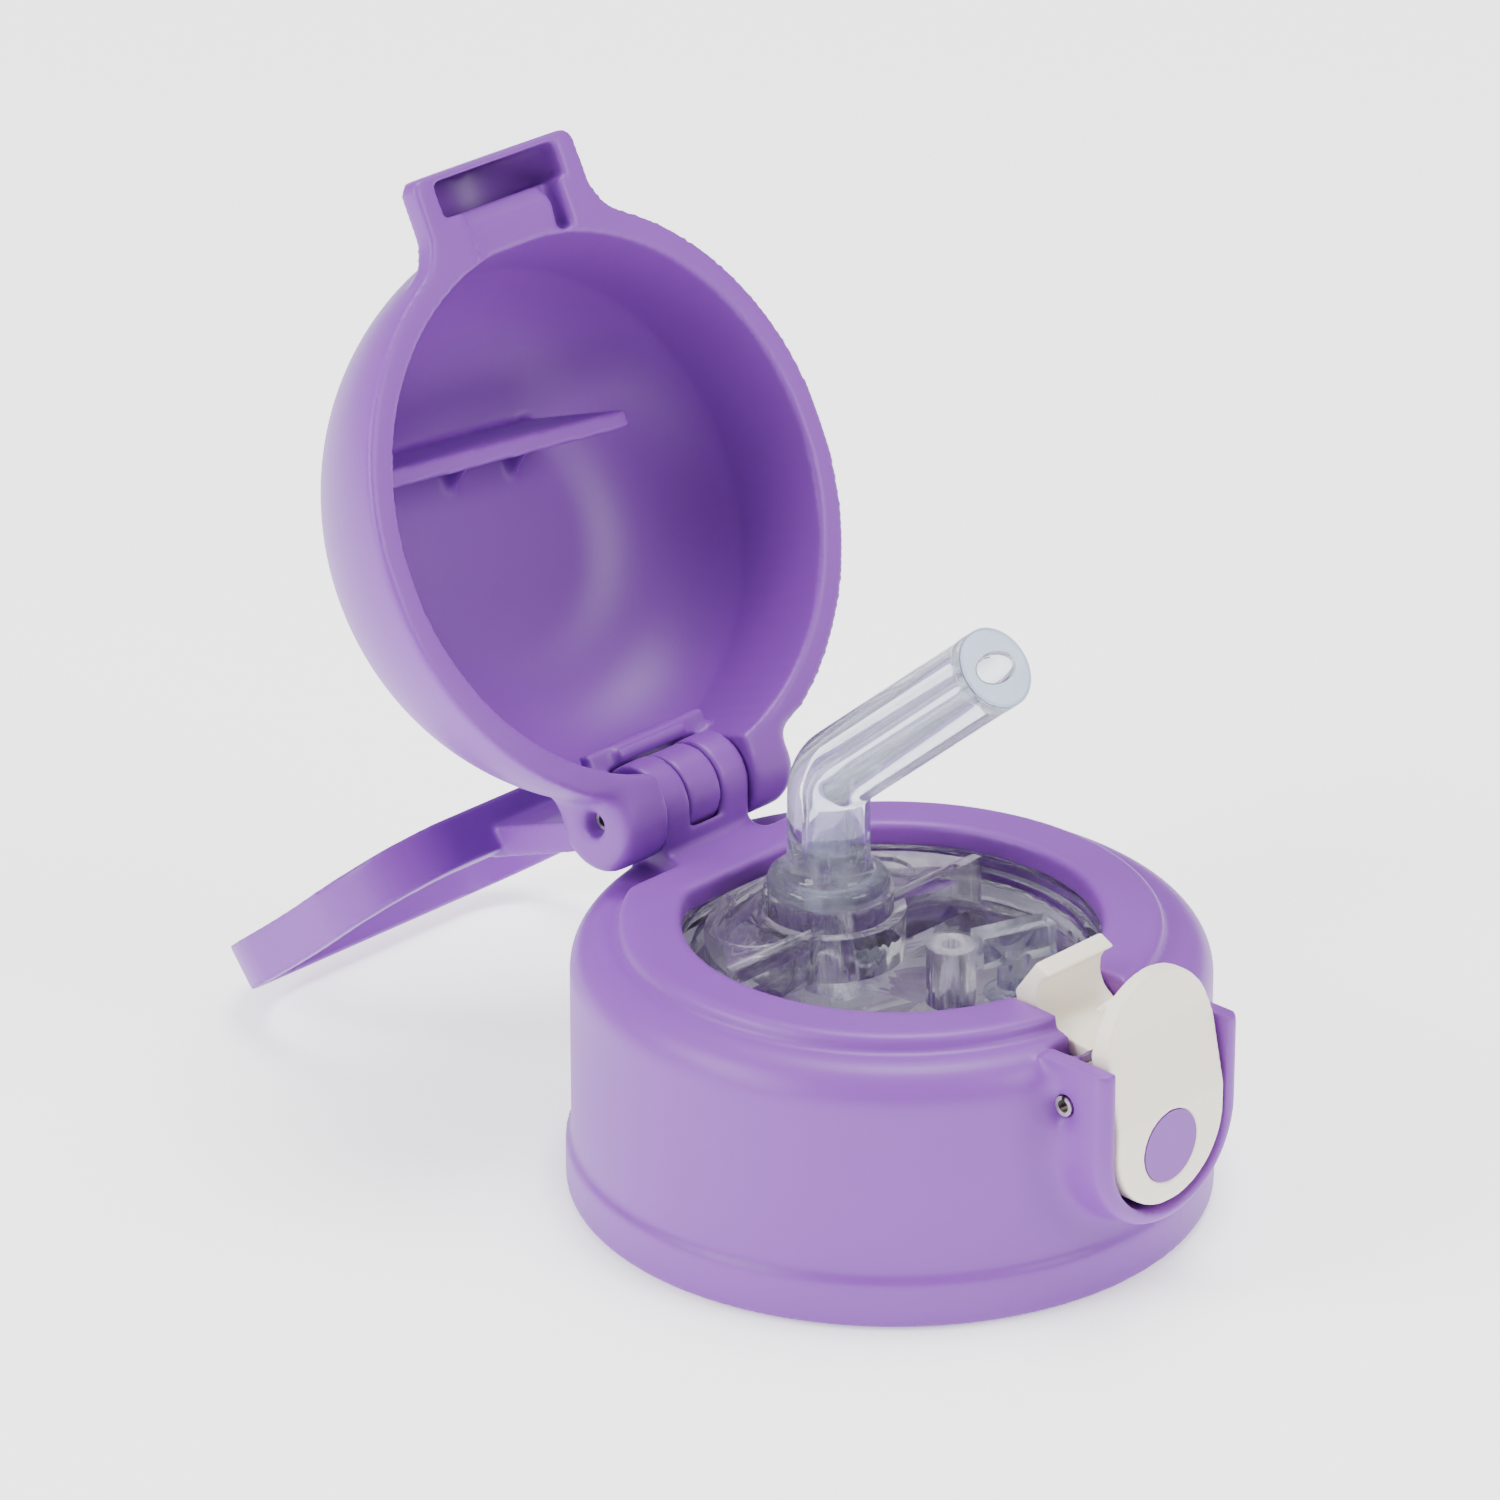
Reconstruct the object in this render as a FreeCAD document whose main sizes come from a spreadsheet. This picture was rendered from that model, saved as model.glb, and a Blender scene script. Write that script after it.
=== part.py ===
import FreeCAD, Part
import Sketcher
import math
import os

# Straw bottle cap: a screw collar, a clear drinking unit with a soft straw, a domed lid on a
# hinge, a carry loop on the same hinge and a rocker latch. Millimetres, +Z up, X along the
# hinge, +Y towards the hinge. The origin is the centre of the collar's bottom face.
# The lid and all that it carries are drawn closed, and then turned open about the hinge.

SIZES = [
    # Collar
    ("collar_radius", 36.0), ("collar_wall", 3.6), ("collar_shoulder", 30.8), ("shoulder_round", 4.5),
    ("lip_step", 0.65), ("lip_height", 5.6), ("lip_slope", 0.6), ("edge_round", 0.8),
    ("ring_inset", 5.5), ("ring_rise", 1.9), ("ring_round", 1.1),
    ("thread_depth", 13.2), ("upper_wall", 4.2), ("bore_depth", 27.8), ("deck_roof", 29.7),
    ("opening_inset", 7.0), ("chord_inset", 2.9), ("opening_corner", 3.0), ("opening_round", 0.8),
    ("sleeve_wall", 2.5), ("fuse_depth", 0.5),
    # Hinge
    ("hinge_inset", 2.5), ("hinge_rise", 6.4), ("open_angle", 117.0),
    ("base_ear_radius", 4.9), ("base_ear_inner", 2.6), ("base_ear_outer", 6.9), ("base_ear_depth", 5.0),
    ("knuckle_radius", 4.75), ("knuckle_gap", 0.1), ("ear_gap", 0.2), ("lid_ear_half", 13.7),
    ("lid_ear_radius", 5.9), ("ear_round", 1.5), ("platform_depth", 7.2), ("platform_drop", 0.3),
    ("hinge_pin_radius", 1.2), ("hinge_pin_recess", 1.9), ("pin_mouth_gap", 0.35), ("relief_width", 2.0),
    ("pin_wall", 0.45), ("running_gap", 0.05), ("press_gap", 0.01), ("swing_gap", 0.4), ("saddle_inset", 0.6),
    # Lid
    ("lid_inset", 1.6), ("lid_wall", 3.2), ("rim_gap", 0.4), ("lid_height", 30.5), ("lid_side_round", 27.5),
    ("cavity_depth", 23.6), ("cavity_round", 17.0), ("cavity_draft", 1.8), ("cavity_wall_height", 12.4),
    ("notch_rise", 2.0), ("frame_half", 9.4), ("frame_depth", 7.3), ("frame_rise", 1.7),
    ("bar_half", 5.4), ("bar_inset", 0.7), ("bar_drop", 0.9),
    ("rib_front", 10.0), ("rib_wall", 2.2), ("rib_rise", 10.8), ("rib_left", 29.0), ("rib_right", 15.8),
    ("rib_slope", 6.0), ("rib_turn", 5.2), ("rib_lean", 2.4), ("rib_end", 5.0), ("gusset_wall", 1.0), ("gusset_depth", 5.2),
    ("gusset_height", 8.0), ("gusset_left", -2.6), ("gusset_right", 6.8),
    # Hood over the latch
    ("hood_set_back", 0.3), ("hood_wall", 0.85), ("hood_half", 12.5), ("hood_blend", 6.0),
    ("hood_back", 27.0), ("hood_height", 2.8), ("hood_corner", 1.5), ("arch_wall", 1.3),
    ("hook_height", 3.1), ("hook_ridge", 0.4), ("hook_bevel", 2.0), ("hook_slope", 0.9), ("hood_side_gap", 0.7),
    ("hook_groove", 1.5), ("groove_height", 2.6), ("tooth_grip", 1.0), ("tooth_gap", 0.8),
    # Latch
    ("latch_inset", 0.6), ("latch_drop", 5.5), ("latch_pin_radius", 1.175), ("latch_pin_recess", 0.5),
    ("latch_hole_radius", 1.65), ("latch_hole_depth", 1.2),
    ("plate_half", 8.7), ("plate_foot", 11.9), ("plate_length", 27.1), ("plate_inset", 0.1),
    ("plate_wall", 2.9), ("plate_bend", 23.2), ("plate_lean", 2.8), ("bend_rise", 9.8), ("bend_lean", 2.1), ("bend_in", 2.0), ("plate_top_wall", 1.6),
    ("tooth_half", 6.0), ("tooth_reach", 6.3), ("tooth_edge", 0.2),
    ("arm_half", 5.3), ("arm_length", 12.2), ("fin_height", 4.4), ("fin_lean", 3.1), ("fin_lip", 2.1),
    ("fin_lip_drop", 1.1), ("fin_gap", 0.5),
    ("channel_start", 5.2), ("fin_hollow", 3.4), ("fin_hollow_step", 1.4), ("channel_drop", 0.6), ("arm_drop", 2.8), ("arm_wall", 1.5),
    ("pivot_radius", 3.3), ("pivot_gap", 0.35), ("slot_gap", 0.25),
    ("boss_half", 11.3), ("boss_rise", 5.8), ("boss_corner", 1.5), ("pocket_gap", 0.5),
    ("pocket_drop", 0.35), ("pocket_wall", 0.2), ("housing_half", 10.6), ("housing_foot", 20.6),
    ("slot_floor_gap", 0.5),
    ("dot_radius", 4.2), ("dot_rise", 6.8), ("dot_depth", 1.2),
    ("spring_wire", 0.35), ("spring_radius", 2.1), ("spring_pitch", 0.85), ("spring_turns", 3.0),
    ("spring_leg", 8.0),
    # Drinking unit, clear
    ("drum_inset", 5.8), ("drum_gap", 0.3), ("drum_wall", 2.4), ("drum_top", 29.4),
    ("flange_gap", 1.0), ("flange_foot", 17.2), ("flange_wall", 2.8), ("floor_top", 25.0),
    ("floor_wall", 2.2), ("platform_inset", 5.0), ("platform_top", 30.4), ("platform_edge", 5.0),
    ("shell_wall", 2.0), ("bulge_radius", 8.8), ("edge_rib_width", 1.2), ("edge_rib_height", 0.7),
    ("recess_inset", 1.4), ("recess_depth", 0.6), ("recess_corner", 4.0), ("ledge_inset", 3.6), ("ledge_top", 28.4),
    ("socket_radius", 7.4), ("socket_top", 32.9), ("nipple_radius", 3.2), ("nipple_foot", 14.2),
    ("duct_radius", 2.2), ("post_radius", 2.8), ("post_top", 32.0), ("post_front", 9.0), ("post_bore", 1.2),
    ("groove_up", 24.0), ("groove_width", 2.0), ("groove_depth", 1.5), ("seal_squeeze", 0.1),
    # Mouthpiece, soft
    ("tube_back", 9.7), ("tube_radius", 4.7), ("tube_bore", 2.2), ("tube_corner", 46.6),
    ("tube_bend", 7.0), ("tube_lean", 49.8), ("tube_length", 32.4), ("foot_radius", 6.95),
    ("foot_height", 1.8), ("spigot_height", 5.0), ("spigot_wall", 0.6),
    # Air valve and neck seal, soft
    ("valve_x", 7.9), ("valve_front", 11.2), ("valve_turn", -20.0), ("valve_length", 9.2),
    ("valve_width", 3.2), ("valve_foot", 28.4), ("valve_height", 3.8), ("stem_radius", 1.8),
    ("valve_disc", 3.4), ("valve_disc_wall", 0.8),
    ("seal_width", 4.4), ("seal_gap", 0.8), ("seal_height", 2.6), ("seal_lip", 1.0),
    # Carry loop
    ("loop_half_width", 26.2), ("loop_half_length", 19.6), ("loop_wall", 2.5), ("loop_height", 5.8),
    ("loop_corner", 13.0), ("loop_reach", 37.1), ("loop_fall", 22.4), ("loop_tilt", 39.0),
    ("loop_bow", 217.0), ("neck_half_height", 2.0), ("neck_reach", 10.0),
    ("neck_fall", 7.0), ("neck_wide_half", 7.5), ("neck_root", 3.2), ("neck_root_drop", 0.8),
    ("neck_lap", 1.0), ("neck_step", 0.5), ("groove_drop", 1.2),
]

doc = FreeCAD.newDocument("straw_bottle_cap")
sheet = doc.addObject("Spreadsheet::Sheet", "Sizes")


class Size:
    """A number together with the sheet expression that gives it."""

    def __init__(self, value, text):
        self.value = value
        self.text = text

    def __add__(self, other):
        other = as_size(other)
        return Size(self.value + other.value, "(" + self.text + " + " + other.text + ")")

    def __sub__(self, other):
        other = as_size(other)
        return Size(self.value - other.value, "(" + self.text + " - " + other.text + ")")

    def __mul__(self, other):
        other = as_size(other)
        return Size(self.value * other.value, "(" + self.text + " * " + other.text + ")")

    def __truediv__(self, other):
        other = as_size(other)
        return Size(self.value / other.value, "(" + self.text + " / " + other.text + ")")

    def __neg__(self):
        return Size(-self.value, "(-" + self.text + ")")


def as_size(number):
    if isinstance(number, Size):
        return number
    return Size(float(number), "(" + repr(float(number)) + ")")


def sine(size):
    return Size(math.sin(math.radians(size.value)), "sin(" + size.text + " * 1 deg)")


def cosine(size):
    return Size(math.cos(math.radians(size.value)), "cos(" + size.text + " * 1 deg)")


def tangent(size):
    return sine(size) / cosine(size)


def fill_sheet():
    """Write every size into the sheet, and return them by name."""
    named = {}
    for row, (name, value) in enumerate(SIZES, start=1):
        sheet.set("A" + str(row), name)
        sheet.set("B" + str(row), repr(value))
        sheet.setAlias("B" + str(row), name)
        named[name] = Size(value, "Sizes." + name)
    doc.recompute()
    return named


class Named:
    """The sizes as attributes."""

    def __init__(self, named):
        self.__dict__.update(named)


n = Named(fill_sheet())

# Sizes that follow from the collar, the hinge and the latch's plate
n.bore_radius = n.collar_radius - n.collar_wall
n.upper_bore = n.collar_radius - n.upper_wall
n.lip_radius = n.collar_radius + n.lip_step
n.ring_radius = n.collar_radius - n.ring_inset
n.opening_radius = n.ring_radius - n.opening_inset
n.opening_chord = n.opening_radius - n.chord_inset
n.drum_radius = n.upper_bore - n.drum_inset
n.flange_radius = n.upper_bore - n.flange_gap
n.platform_radius = n.drum_radius - n.platform_inset
n.ledge_radius = n.drum_radius - n.ledge_inset
n.seal_outer = n.upper_bore - n.seal_gap
n.seal_inner = n.seal_outer - n.seal_width
n.hinge_back = n.collar_radius - n.hinge_inset
n.hinge_up = n.collar_shoulder + n.hinge_rise
n.base_ear_front = n.hinge_back - n.base_ear_depth
n.platform_front = n.hinge_back - n.platform_depth
n.groove_floor = n.collar_shoulder - n.groove_drop
n.knuckle_half = n.base_ear_inner - n.knuckle_gap
n.lid_rim = n.collar_shoulder + n.rim_gap
n.lid_radius = n.collar_radius - n.lid_inset
n.cavity_radius = n.lid_radius - n.lid_wall
n.notch_top = n.hinge_up + n.notch_rise
n.frame_front = n.hinge_back - n.frame_depth
n.bar_front = n.frame_front + n.bar_inset
n.rib_foot = n.lid_rim + n.rib_rise
n.hinge_hole_radius = n.hinge_pin_radius + n.pin_mouth_gap
n.boss_front = n.collar_radius + n.boss_rise
n.hood_front = n.boss_front - n.hood_set_back
n.plate_front = n.boss_front - n.plate_inset
n.plate_top_front = n.plate_front - n.plate_lean
n.plate_crest = n.plate_foot + n.plate_length
n.tooth_tip = n.plate_front - n.tooth_reach
n.tooth_space = n.tooth_tip - n.tooth_grip
n.tooth_under = n.lid_rim + n.hook_height + n.tooth_gap
n.hook_edge = n.tooth_tip + n.tooth_grip
n.latch_back = n.collar_radius - n.latch_inset
n.latch_up = n.collar_shoulder - n.latch_drop
n.pocket_back = n.latch_back + n.pocket_wall
n.arm_inner = n.latch_back - n.arm_length
n.arm_under = n.collar_shoulder - n.arm_drop
n.channel_inner = n.arm_inner + n.channel_start
n.channel_floor = n.collar_shoulder - n.channel_drop
n.fin_low = n.collar_shoulder + n.ring_rise + n.fin_gap
n.fin_top = n.fin_low + n.fin_height
n.fin_top_back = n.arm_inner + n.fin_lean
n.dot_up = n.plate_foot + n.dot_rise
n.loop_back = n.hinge_back + n.loop_reach
n.loop_up = n.hinge_up - n.loop_fall
n.neck_bend_back = n.hinge_back + n.neck_reach
n.neck_bend_up = n.hinge_up - n.neck_fall

AXIS_Z = FreeCAD.Rotation()
AXIS_X = FreeCAD.Rotation(FreeCAD.Vector(0, 1, 0), 90)
AXIS_Y = FreeCAD.Rotation(FreeCAD.Vector(1, 0, 0), -90)
REACH = 90.0
DIAGONAL = math.sqrt(0.5)
FIN_HOLLOW_TURNS = (130, 110, 90, 70, 50, 25, 0)
INSIDE_TURNS = (20, 35, 50, 65, 78)


def place(obj, position, rotation=AXIS_Z):
    """Put an object's own origin at a position given by sizes."""
    obj.Placement = FreeCAD.Placement(FreeCAD.Vector(), rotation)
    for letter, size in zip("xyz", position):
        obj.setExpression("Placement.Base." + letter, as_size(size).text)
    return obj


def bind(obj, prop, size):
    obj.setExpression(prop, as_size(size).text)


def box(name, low, high):
    """A block between two corners."""
    obj = doc.addObject("Part::Box", name)
    for prop, start, end in zip(("Length", "Width", "Height"), low, high):
        bind(obj, prop, as_size(end) - start)
    return place(obj, low)


def cylinder(name, radius, start, length, rotation=AXIS_Z):
    """A round bar from a start point, along the rotated Z direction."""
    obj = doc.addObject("Part::Cylinder", name)
    bind(obj, "Radius", radius)
    bind(obj, "Height", length)
    return place(obj, start, rotation)


def bar_x(name, radius, half_low, half_high, back, up):
    """A round bar along X between two values of x."""
    low = as_size(half_low)
    return cylinder(name, radius, (low, back, up), as_size(half_high) - low, AXIS_X)


def bar_y(name, radius, x, low, high, up):
    """A round bar along Y between two values of y."""
    low = as_size(low)
    return cylinder(name, radius, (x, low, up), as_size(high) - low, AXIS_Y)


def fuse(name, *shapes):
    obj = doc.addObject("Part::MultiFuse", name)
    obj.Shapes = list(shapes)
    obj.Refine = True
    return obj


def cut(name, base, *tools):
    """The base without the tools."""
    tool = tools[0]
    if len(tools) > 1:
        tool = doc.addObject("Part::MultiFuse", name + "_tools")
        tool.Shapes = list(tools)
    obj = doc.addObject("Part::Cut", name)
    obj.Base = base
    obj.Tool = tool
    obj.Refine = True
    return obj


def common(name, *shapes):
    obj = doc.addObject("Part::MultiCommon", name)
    obj.Shapes = list(shapes)
    obj.Refine = True
    return obj


def mirror_x(name, source):
    """The same shape on the other side of the plane x = 0."""
    obj = doc.addObject("Part::Mirroring", name)
    obj.Source = source
    obj.Base = FreeCAD.Vector()
    obj.Normal = FreeCAD.Vector(1, 0, 0)
    return obj


def round_edges(name, base, radius, choose):
    """Round the edges that a test picks."""
    doc.recompute()
    picked = [i for i, edge in enumerate(base.Shape.Edges, start=1) if choose(edge)]
    obj = doc.addObject("Part::Fillet", name)
    obj.Base = base
    obj.Edges = [(i, radius.value, radius.value) for i in picked]
    return obj


def origin_plane(body, role):
    return [plane for plane in body.Origin.OriginFeatures if plane.Role == role][0]


def outline(body, name, role, points):
    """A closed sketch of straight lines, each corner held by two sizes."""
    sketch = body.newObject("Sketcher::SketchObject", name)
    sketch.AttachmentSupport = [(origin_plane(body, role), "")]
    sketch.MapMode = "FlatFace"
    sized = [(as_size(u), as_size(v)) for u, v in points]
    count = len(sized)
    for i in range(count):
        start = FreeCAD.Vector(sized[i][0].value, sized[i][1].value, 0)
        end = sized[(i + 1) % count]
        sketch.addGeometry(Part.LineSegment(start, FreeCAD.Vector(end[0].value, end[1].value, 0)))
    for i in range(count):
        join_and_hold(sketch, i, (i + 1) % count, sized[i])
    return sketch


def join_and_hold(sketch, side, following, corner):
    """Join a side to the next one, and hold its first point at a corner."""
    hold(sketch, "Coincident", side, 2, following, 1)
    hold(sketch, "DistanceX", -1, 1, side, 1, corner[0])
    hold(sketch, "DistanceY", -1, 1, side, 1, corner[1])


def turned(name, points):
    """A body of revolution about Z from an outline of (radius, height)."""
    body = doc.addObject("PartDesign::Body", name)
    sketch = outline(body, name + "_outline", "XZ_Plane", points)
    feature = body.newObject("PartDesign::Revolution", name + "_turn")
    feature.Profile = sketch
    feature.ReferenceAxis = (sketch, ["V_Axis"])
    feature.Angle = 360
    return body


def slab_yz(name, half_low, half_high, points):
    """An outline of (y, z) made solid between two values of x."""
    body = doc.addObject("PartDesign::Body", name)
    sketch = outline(body, name + "_outline", "YZ_Plane", points)
    feature = body.newObject("PartDesign::Pad", name + "_pad")
    feature.Profile = sketch
    bind(feature, "Length", as_size(half_high) - half_low)
    place(body, (half_low, 0, 0))
    return body


def slab_xz(name, low, high, points):
    """An outline of (x, z) made solid between two values of y."""
    body = doc.addObject("PartDesign::Body", name)
    sketch = outline(body, name + "_outline", "XZ_Plane", points)
    feature = body.newObject("PartDesign::Pad", name + "_pad")
    feature.Profile = sketch
    bind(feature, "Length", as_size(high) - low)
    place(body, (0, high, 0))
    return body


def slab_xy(name, low, high, points):
    """An outline of (x, y) made solid between two heights."""
    body = doc.addObject("PartDesign::Body", name)
    sketch = outline(body, name + "_outline", "XY_Plane", points)
    feature = body.newObject("PartDesign::Pad", name + "_pad")
    feature.Profile = sketch
    bind(feature, "Length", as_size(high) - low)
    place(body, (0, 0, low))
    return body


def is_circle(edge, radius, height):
    """True for a level round edge of a given radius and height."""
    if not hasattr(edge.Curve, "Radius"):
        return False
    at_height = abs(edge.BoundBox.ZMin - height) + abs(edge.BoundBox.ZMax - height) < 0.02
    return at_height and abs(edge.Curve.Radius - radius) < 0.02


def is_upright(edge, x, y):
    """True for an edge along Z at a given place."""
    b = edge.BoundBox
    return b.XLength + b.YLength < 0.02 and abs(b.Center.x - x) + abs(b.Center.y - y) < 0.05


ring_top = n.collar_shoulder + n.ring_rise
pocket_half = n.plate_half + n.pocket_gap
stadium_low = n.plate_foot + n.plate_half
stadium_high = n.plate_crest - n.plate_half
sleeve_bore = n.drum_radius + n.drum_gap
sleeve_foot = n.flange_foot + n.flange_wall + n.drum_gap
slot_half = n.arm_half + n.slot_gap
lid_ear_inner = n.base_ear_outer + n.ear_gap


def opening_prism():
    """The round opening with one straight side, towards the hinge."""
    disc = cylinder("opening_disc", n.opening_radius, (0, 0, n.bore_depth), REACH)
    half = box("opening_half", (-REACH, -REACH, n.bore_depth), (REACH, n.opening_chord, REACH))
    prism = common("opening_plain", disc, half)
    corner = math.sqrt(n.opening_radius.value ** 2 - n.opening_chord.value ** 2)
    return round_edges(
        "opening", prism, n.opening_corner, lambda e: is_upright(e, abs_sign(e, corner), n.opening_chord.value)
    )


def abs_sign(edge, value):
    """A value with the sign of the edge's x."""
    return math.copysign(value, edge.BoundBox.Center.x)


def stadium(name, half, low, high, front, back):
    """A bar along Y whose outline is an upright slot with round ends."""
    foot = bar_y(name + "_foot", half, 0, front, back, low)
    head = bar_y(name + "_head", half, 0, front, back, high)
    middle = box(name + "_middle", (-half, front, low), (half, back, high))
    return fuse(name, foot, head, middle)


def u_prism(name, half, low, front, back, top):
    """A bar along Y with a round foot and straight sides up to a level top."""
    foot = bar_y(name + "_foot", half, 0, front, back, low)
    below = box(name + "_below", (-half, front, low - half), (half, back, low))
    rise = box(name + "_rise", (-half, front, low), (half, back, top))
    return fuse(name, common(name + "_half", foot, below), rise)


def make_collar():
    shell = turned("collar_shell", [
        (n.bore_radius, 0), (n.lip_radius, 0), (n.lip_radius, n.lip_height),
        (n.collar_radius, n.lip_height + n.lip_slope), (n.collar_radius, n.collar_shoulder),
        (n.ring_radius, n.collar_shoulder), (n.ring_radius, ring_top), (0, ring_top), (0, n.deck_roof),
        (sleeve_bore, n.deck_roof), (sleeve_bore, sleeve_foot), (sleeve_bore + n.sleeve_wall, sleeve_foot),
        (sleeve_bore + n.sleeve_wall, n.bore_depth), (n.upper_bore, n.bore_depth),
        (n.upper_bore, n.thread_depth), (n.bore_radius, n.thread_depth),
    ])
    shoulder = round_edges(
        "collar_shoulder_round", shell, n.shoulder_round,
        lambda e: is_circle(e, n.collar_radius.value, n.collar_shoulder.value),
    )
    ring = round_edges(
        "collar_ring_round", shoulder, n.ring_round,
        lambda e: is_circle(e, n.ring_radius.value, ring_top.value),
    )
    foot = round_edges("collar_foot_round", ring, n.edge_round, lambda e: is_circle(e, n.lip_radius.value, 0.0))
    boss = u_prism("boss", n.boss_half, stadium_low, -n.boss_front, -n.bore_radius, n.collar_shoulder)
    boss = round_edges(
        "boss_round", boss, n.boss_corner,
        lambda e: abs(e.BoundBox.Center.y + n.boss_front.value) < 0.01 and e.BoundBox.ZLength > 1,
    )
    housing = box(
        "latch_housing", (-n.housing_half, -n.upper_bore - n.fuse_depth, n.housing_foot),
        (n.housing_half, -sleeve_bore - n.fuse_depth, n.deck_roof),
    )
    bore = fuse(
        "bore_clear", cylinder("bore_clear_low", n.bore_radius, (0, 0, 0), n.thread_depth),
        cylinder("bore_clear_high", n.upper_bore, (0, 0, n.thread_depth), n.housing_foot - n.thread_depth),
    )
    ears = make_base_ears()
    solid = fuse("collar_body", foot, cut("boss_hollow", boss, bore), housing, ears)
    opened = cut("collar_opened", solid, opening_prism(), make_latch_room(), make_ear_relief())
    saddled = fuse("collar_saddled", opened, make_saddle())
    eased = round_edges("opening_edge_round", saddled, n.opening_round, is_opening_edge)
    return cut("collar", eased, make_latch_holes(), bar_x(
        "hinge_bore", n.hinge_pin_radius + n.press_gap, -REACH, REACH, n.hinge_back, n.hinge_up
    ))


def is_opening_edge(edge):
    """True for the upper edge of the opening in the ring."""
    b = edge.BoundBox
    level = abs(b.ZMin - ring_top.value) + abs(b.ZMax - ring_top.value) < 0.02
    reach = n.opening_radius.value + 0.1
    return level and b.YMin > -reach and b.YMax < n.opening_chord.value + 0.1 and abs(b.Center.x) < reach


def make_base_ears():
    """Two ears that stand on the platform and hold the hinge pin."""
    barrel = bar_x("ear_barrel", n.base_ear_radius, -n.base_ear_outer, n.base_ear_outer, n.hinge_back, n.hinge_up)
    pedestal = slab_yz("ear_pedestal", -n.base_ear_outer, n.base_ear_outer, [
        (n.base_ear_front, n.deck_roof), (n.collar_radius - n.shoulder_round, n.deck_roof - n.shoulder_round / 2),
        (n.hinge_back + n.base_ear_radius * DIAGONAL, n.hinge_up - n.base_ear_radius * DIAGONAL),
        (n.hinge_back, n.hinge_up), (n.base_ear_front, n.hinge_up),
    ])
    front = box("ear_front_trim", (-REACH, 0, n.deck_roof), (REACH, n.base_ear_front, REACH))
    gap = n.knuckle_radius + n.swing_gap
    groove = box(
        "knuckle_groove", (-n.base_ear_inner, n.platform_front, n.groove_floor),
        (n.base_ear_inner, REACH, n.hinge_up + gap),
    )
    return cut("base_ears", fuse("ear_solid", barrel, pedestal), front, groove)


def make_saddle():
    """The web between the ears, hollowed under the loop's knuckle."""
    half = n.base_ear_inner + n.fuse_depth
    block = box("saddle_block", (-half, n.base_ear_front, n.deck_roof - n.fuse_depth),
                (half, n.hinge_back - n.saddle_inset, n.hinge_up - n.knuckle_radius / 2))
    return cut("knuckle_saddle", block, bar_x(
        "saddle_room", n.knuckle_radius + n.swing_gap, -REACH, REACH, n.hinge_back, n.hinge_up
    ))


def make_ear_relief():
    """Room under the lid's ears and under the knuckle of the loop."""
    low = n.collar_shoulder - n.platform_drop
    left = box("relief_left", (-n.lid_ear_half - n.relief_width, n.platform_front, low),
               (-n.base_ear_outer - n.knuckle_gap, REACH, REACH))
    right = mirror_x("relief_right", left)
    under = box("relief_knuckle", (-n.base_ear_inner, n.base_ear_front - n.fuse_depth, n.groove_floor),
                (n.base_ear_inner, REACH, REACH))
    return fuse("ear_relief", left, right, under)


def make_latch_room():
    """The pocket behind the plate, and the slot for the rocker's arm and pivot."""
    pocket = u_prism("plate_pocket", pocket_half, stadium_low - n.pocket_drop, -REACH, -n.pocket_back, REACH)
    arm_slot = box("arm_slot", (-slot_half, -n.pocket_back - n.fuse_depth, n.arm_under - n.slot_floor_gap),
                   (slot_half, -n.opening_radius + n.opening_corner, REACH))
    pivot = bar_x("pivot_room", n.pivot_radius + n.pivot_gap, -pocket_half, pocket_half, -n.latch_back, n.latch_up)
    rise = box("pivot_rise", (-pocket_half, -n.latch_back, n.latch_up),
               (pocket_half, -n.latch_back + n.pivot_radius + n.pivot_gap, REACH))
    return fuse("latch_room", pocket, arm_slot, pivot, rise)


def make_latch_holes():
    """The through hole for the latch pin and its two wide mouths."""
    through = bar_x("latch_bore", n.latch_pin_radius + n.press_gap, -REACH, REACH, -n.latch_back, n.latch_up)
    mouth = bar_x("latch_mouth", n.latch_hole_radius, n.boss_half - n.latch_hole_depth, REACH,
                  -n.latch_back, n.latch_up)
    return fuse("latch_holes", through, mouth, mirror_x("latch_mouth_left", mouth))


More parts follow.
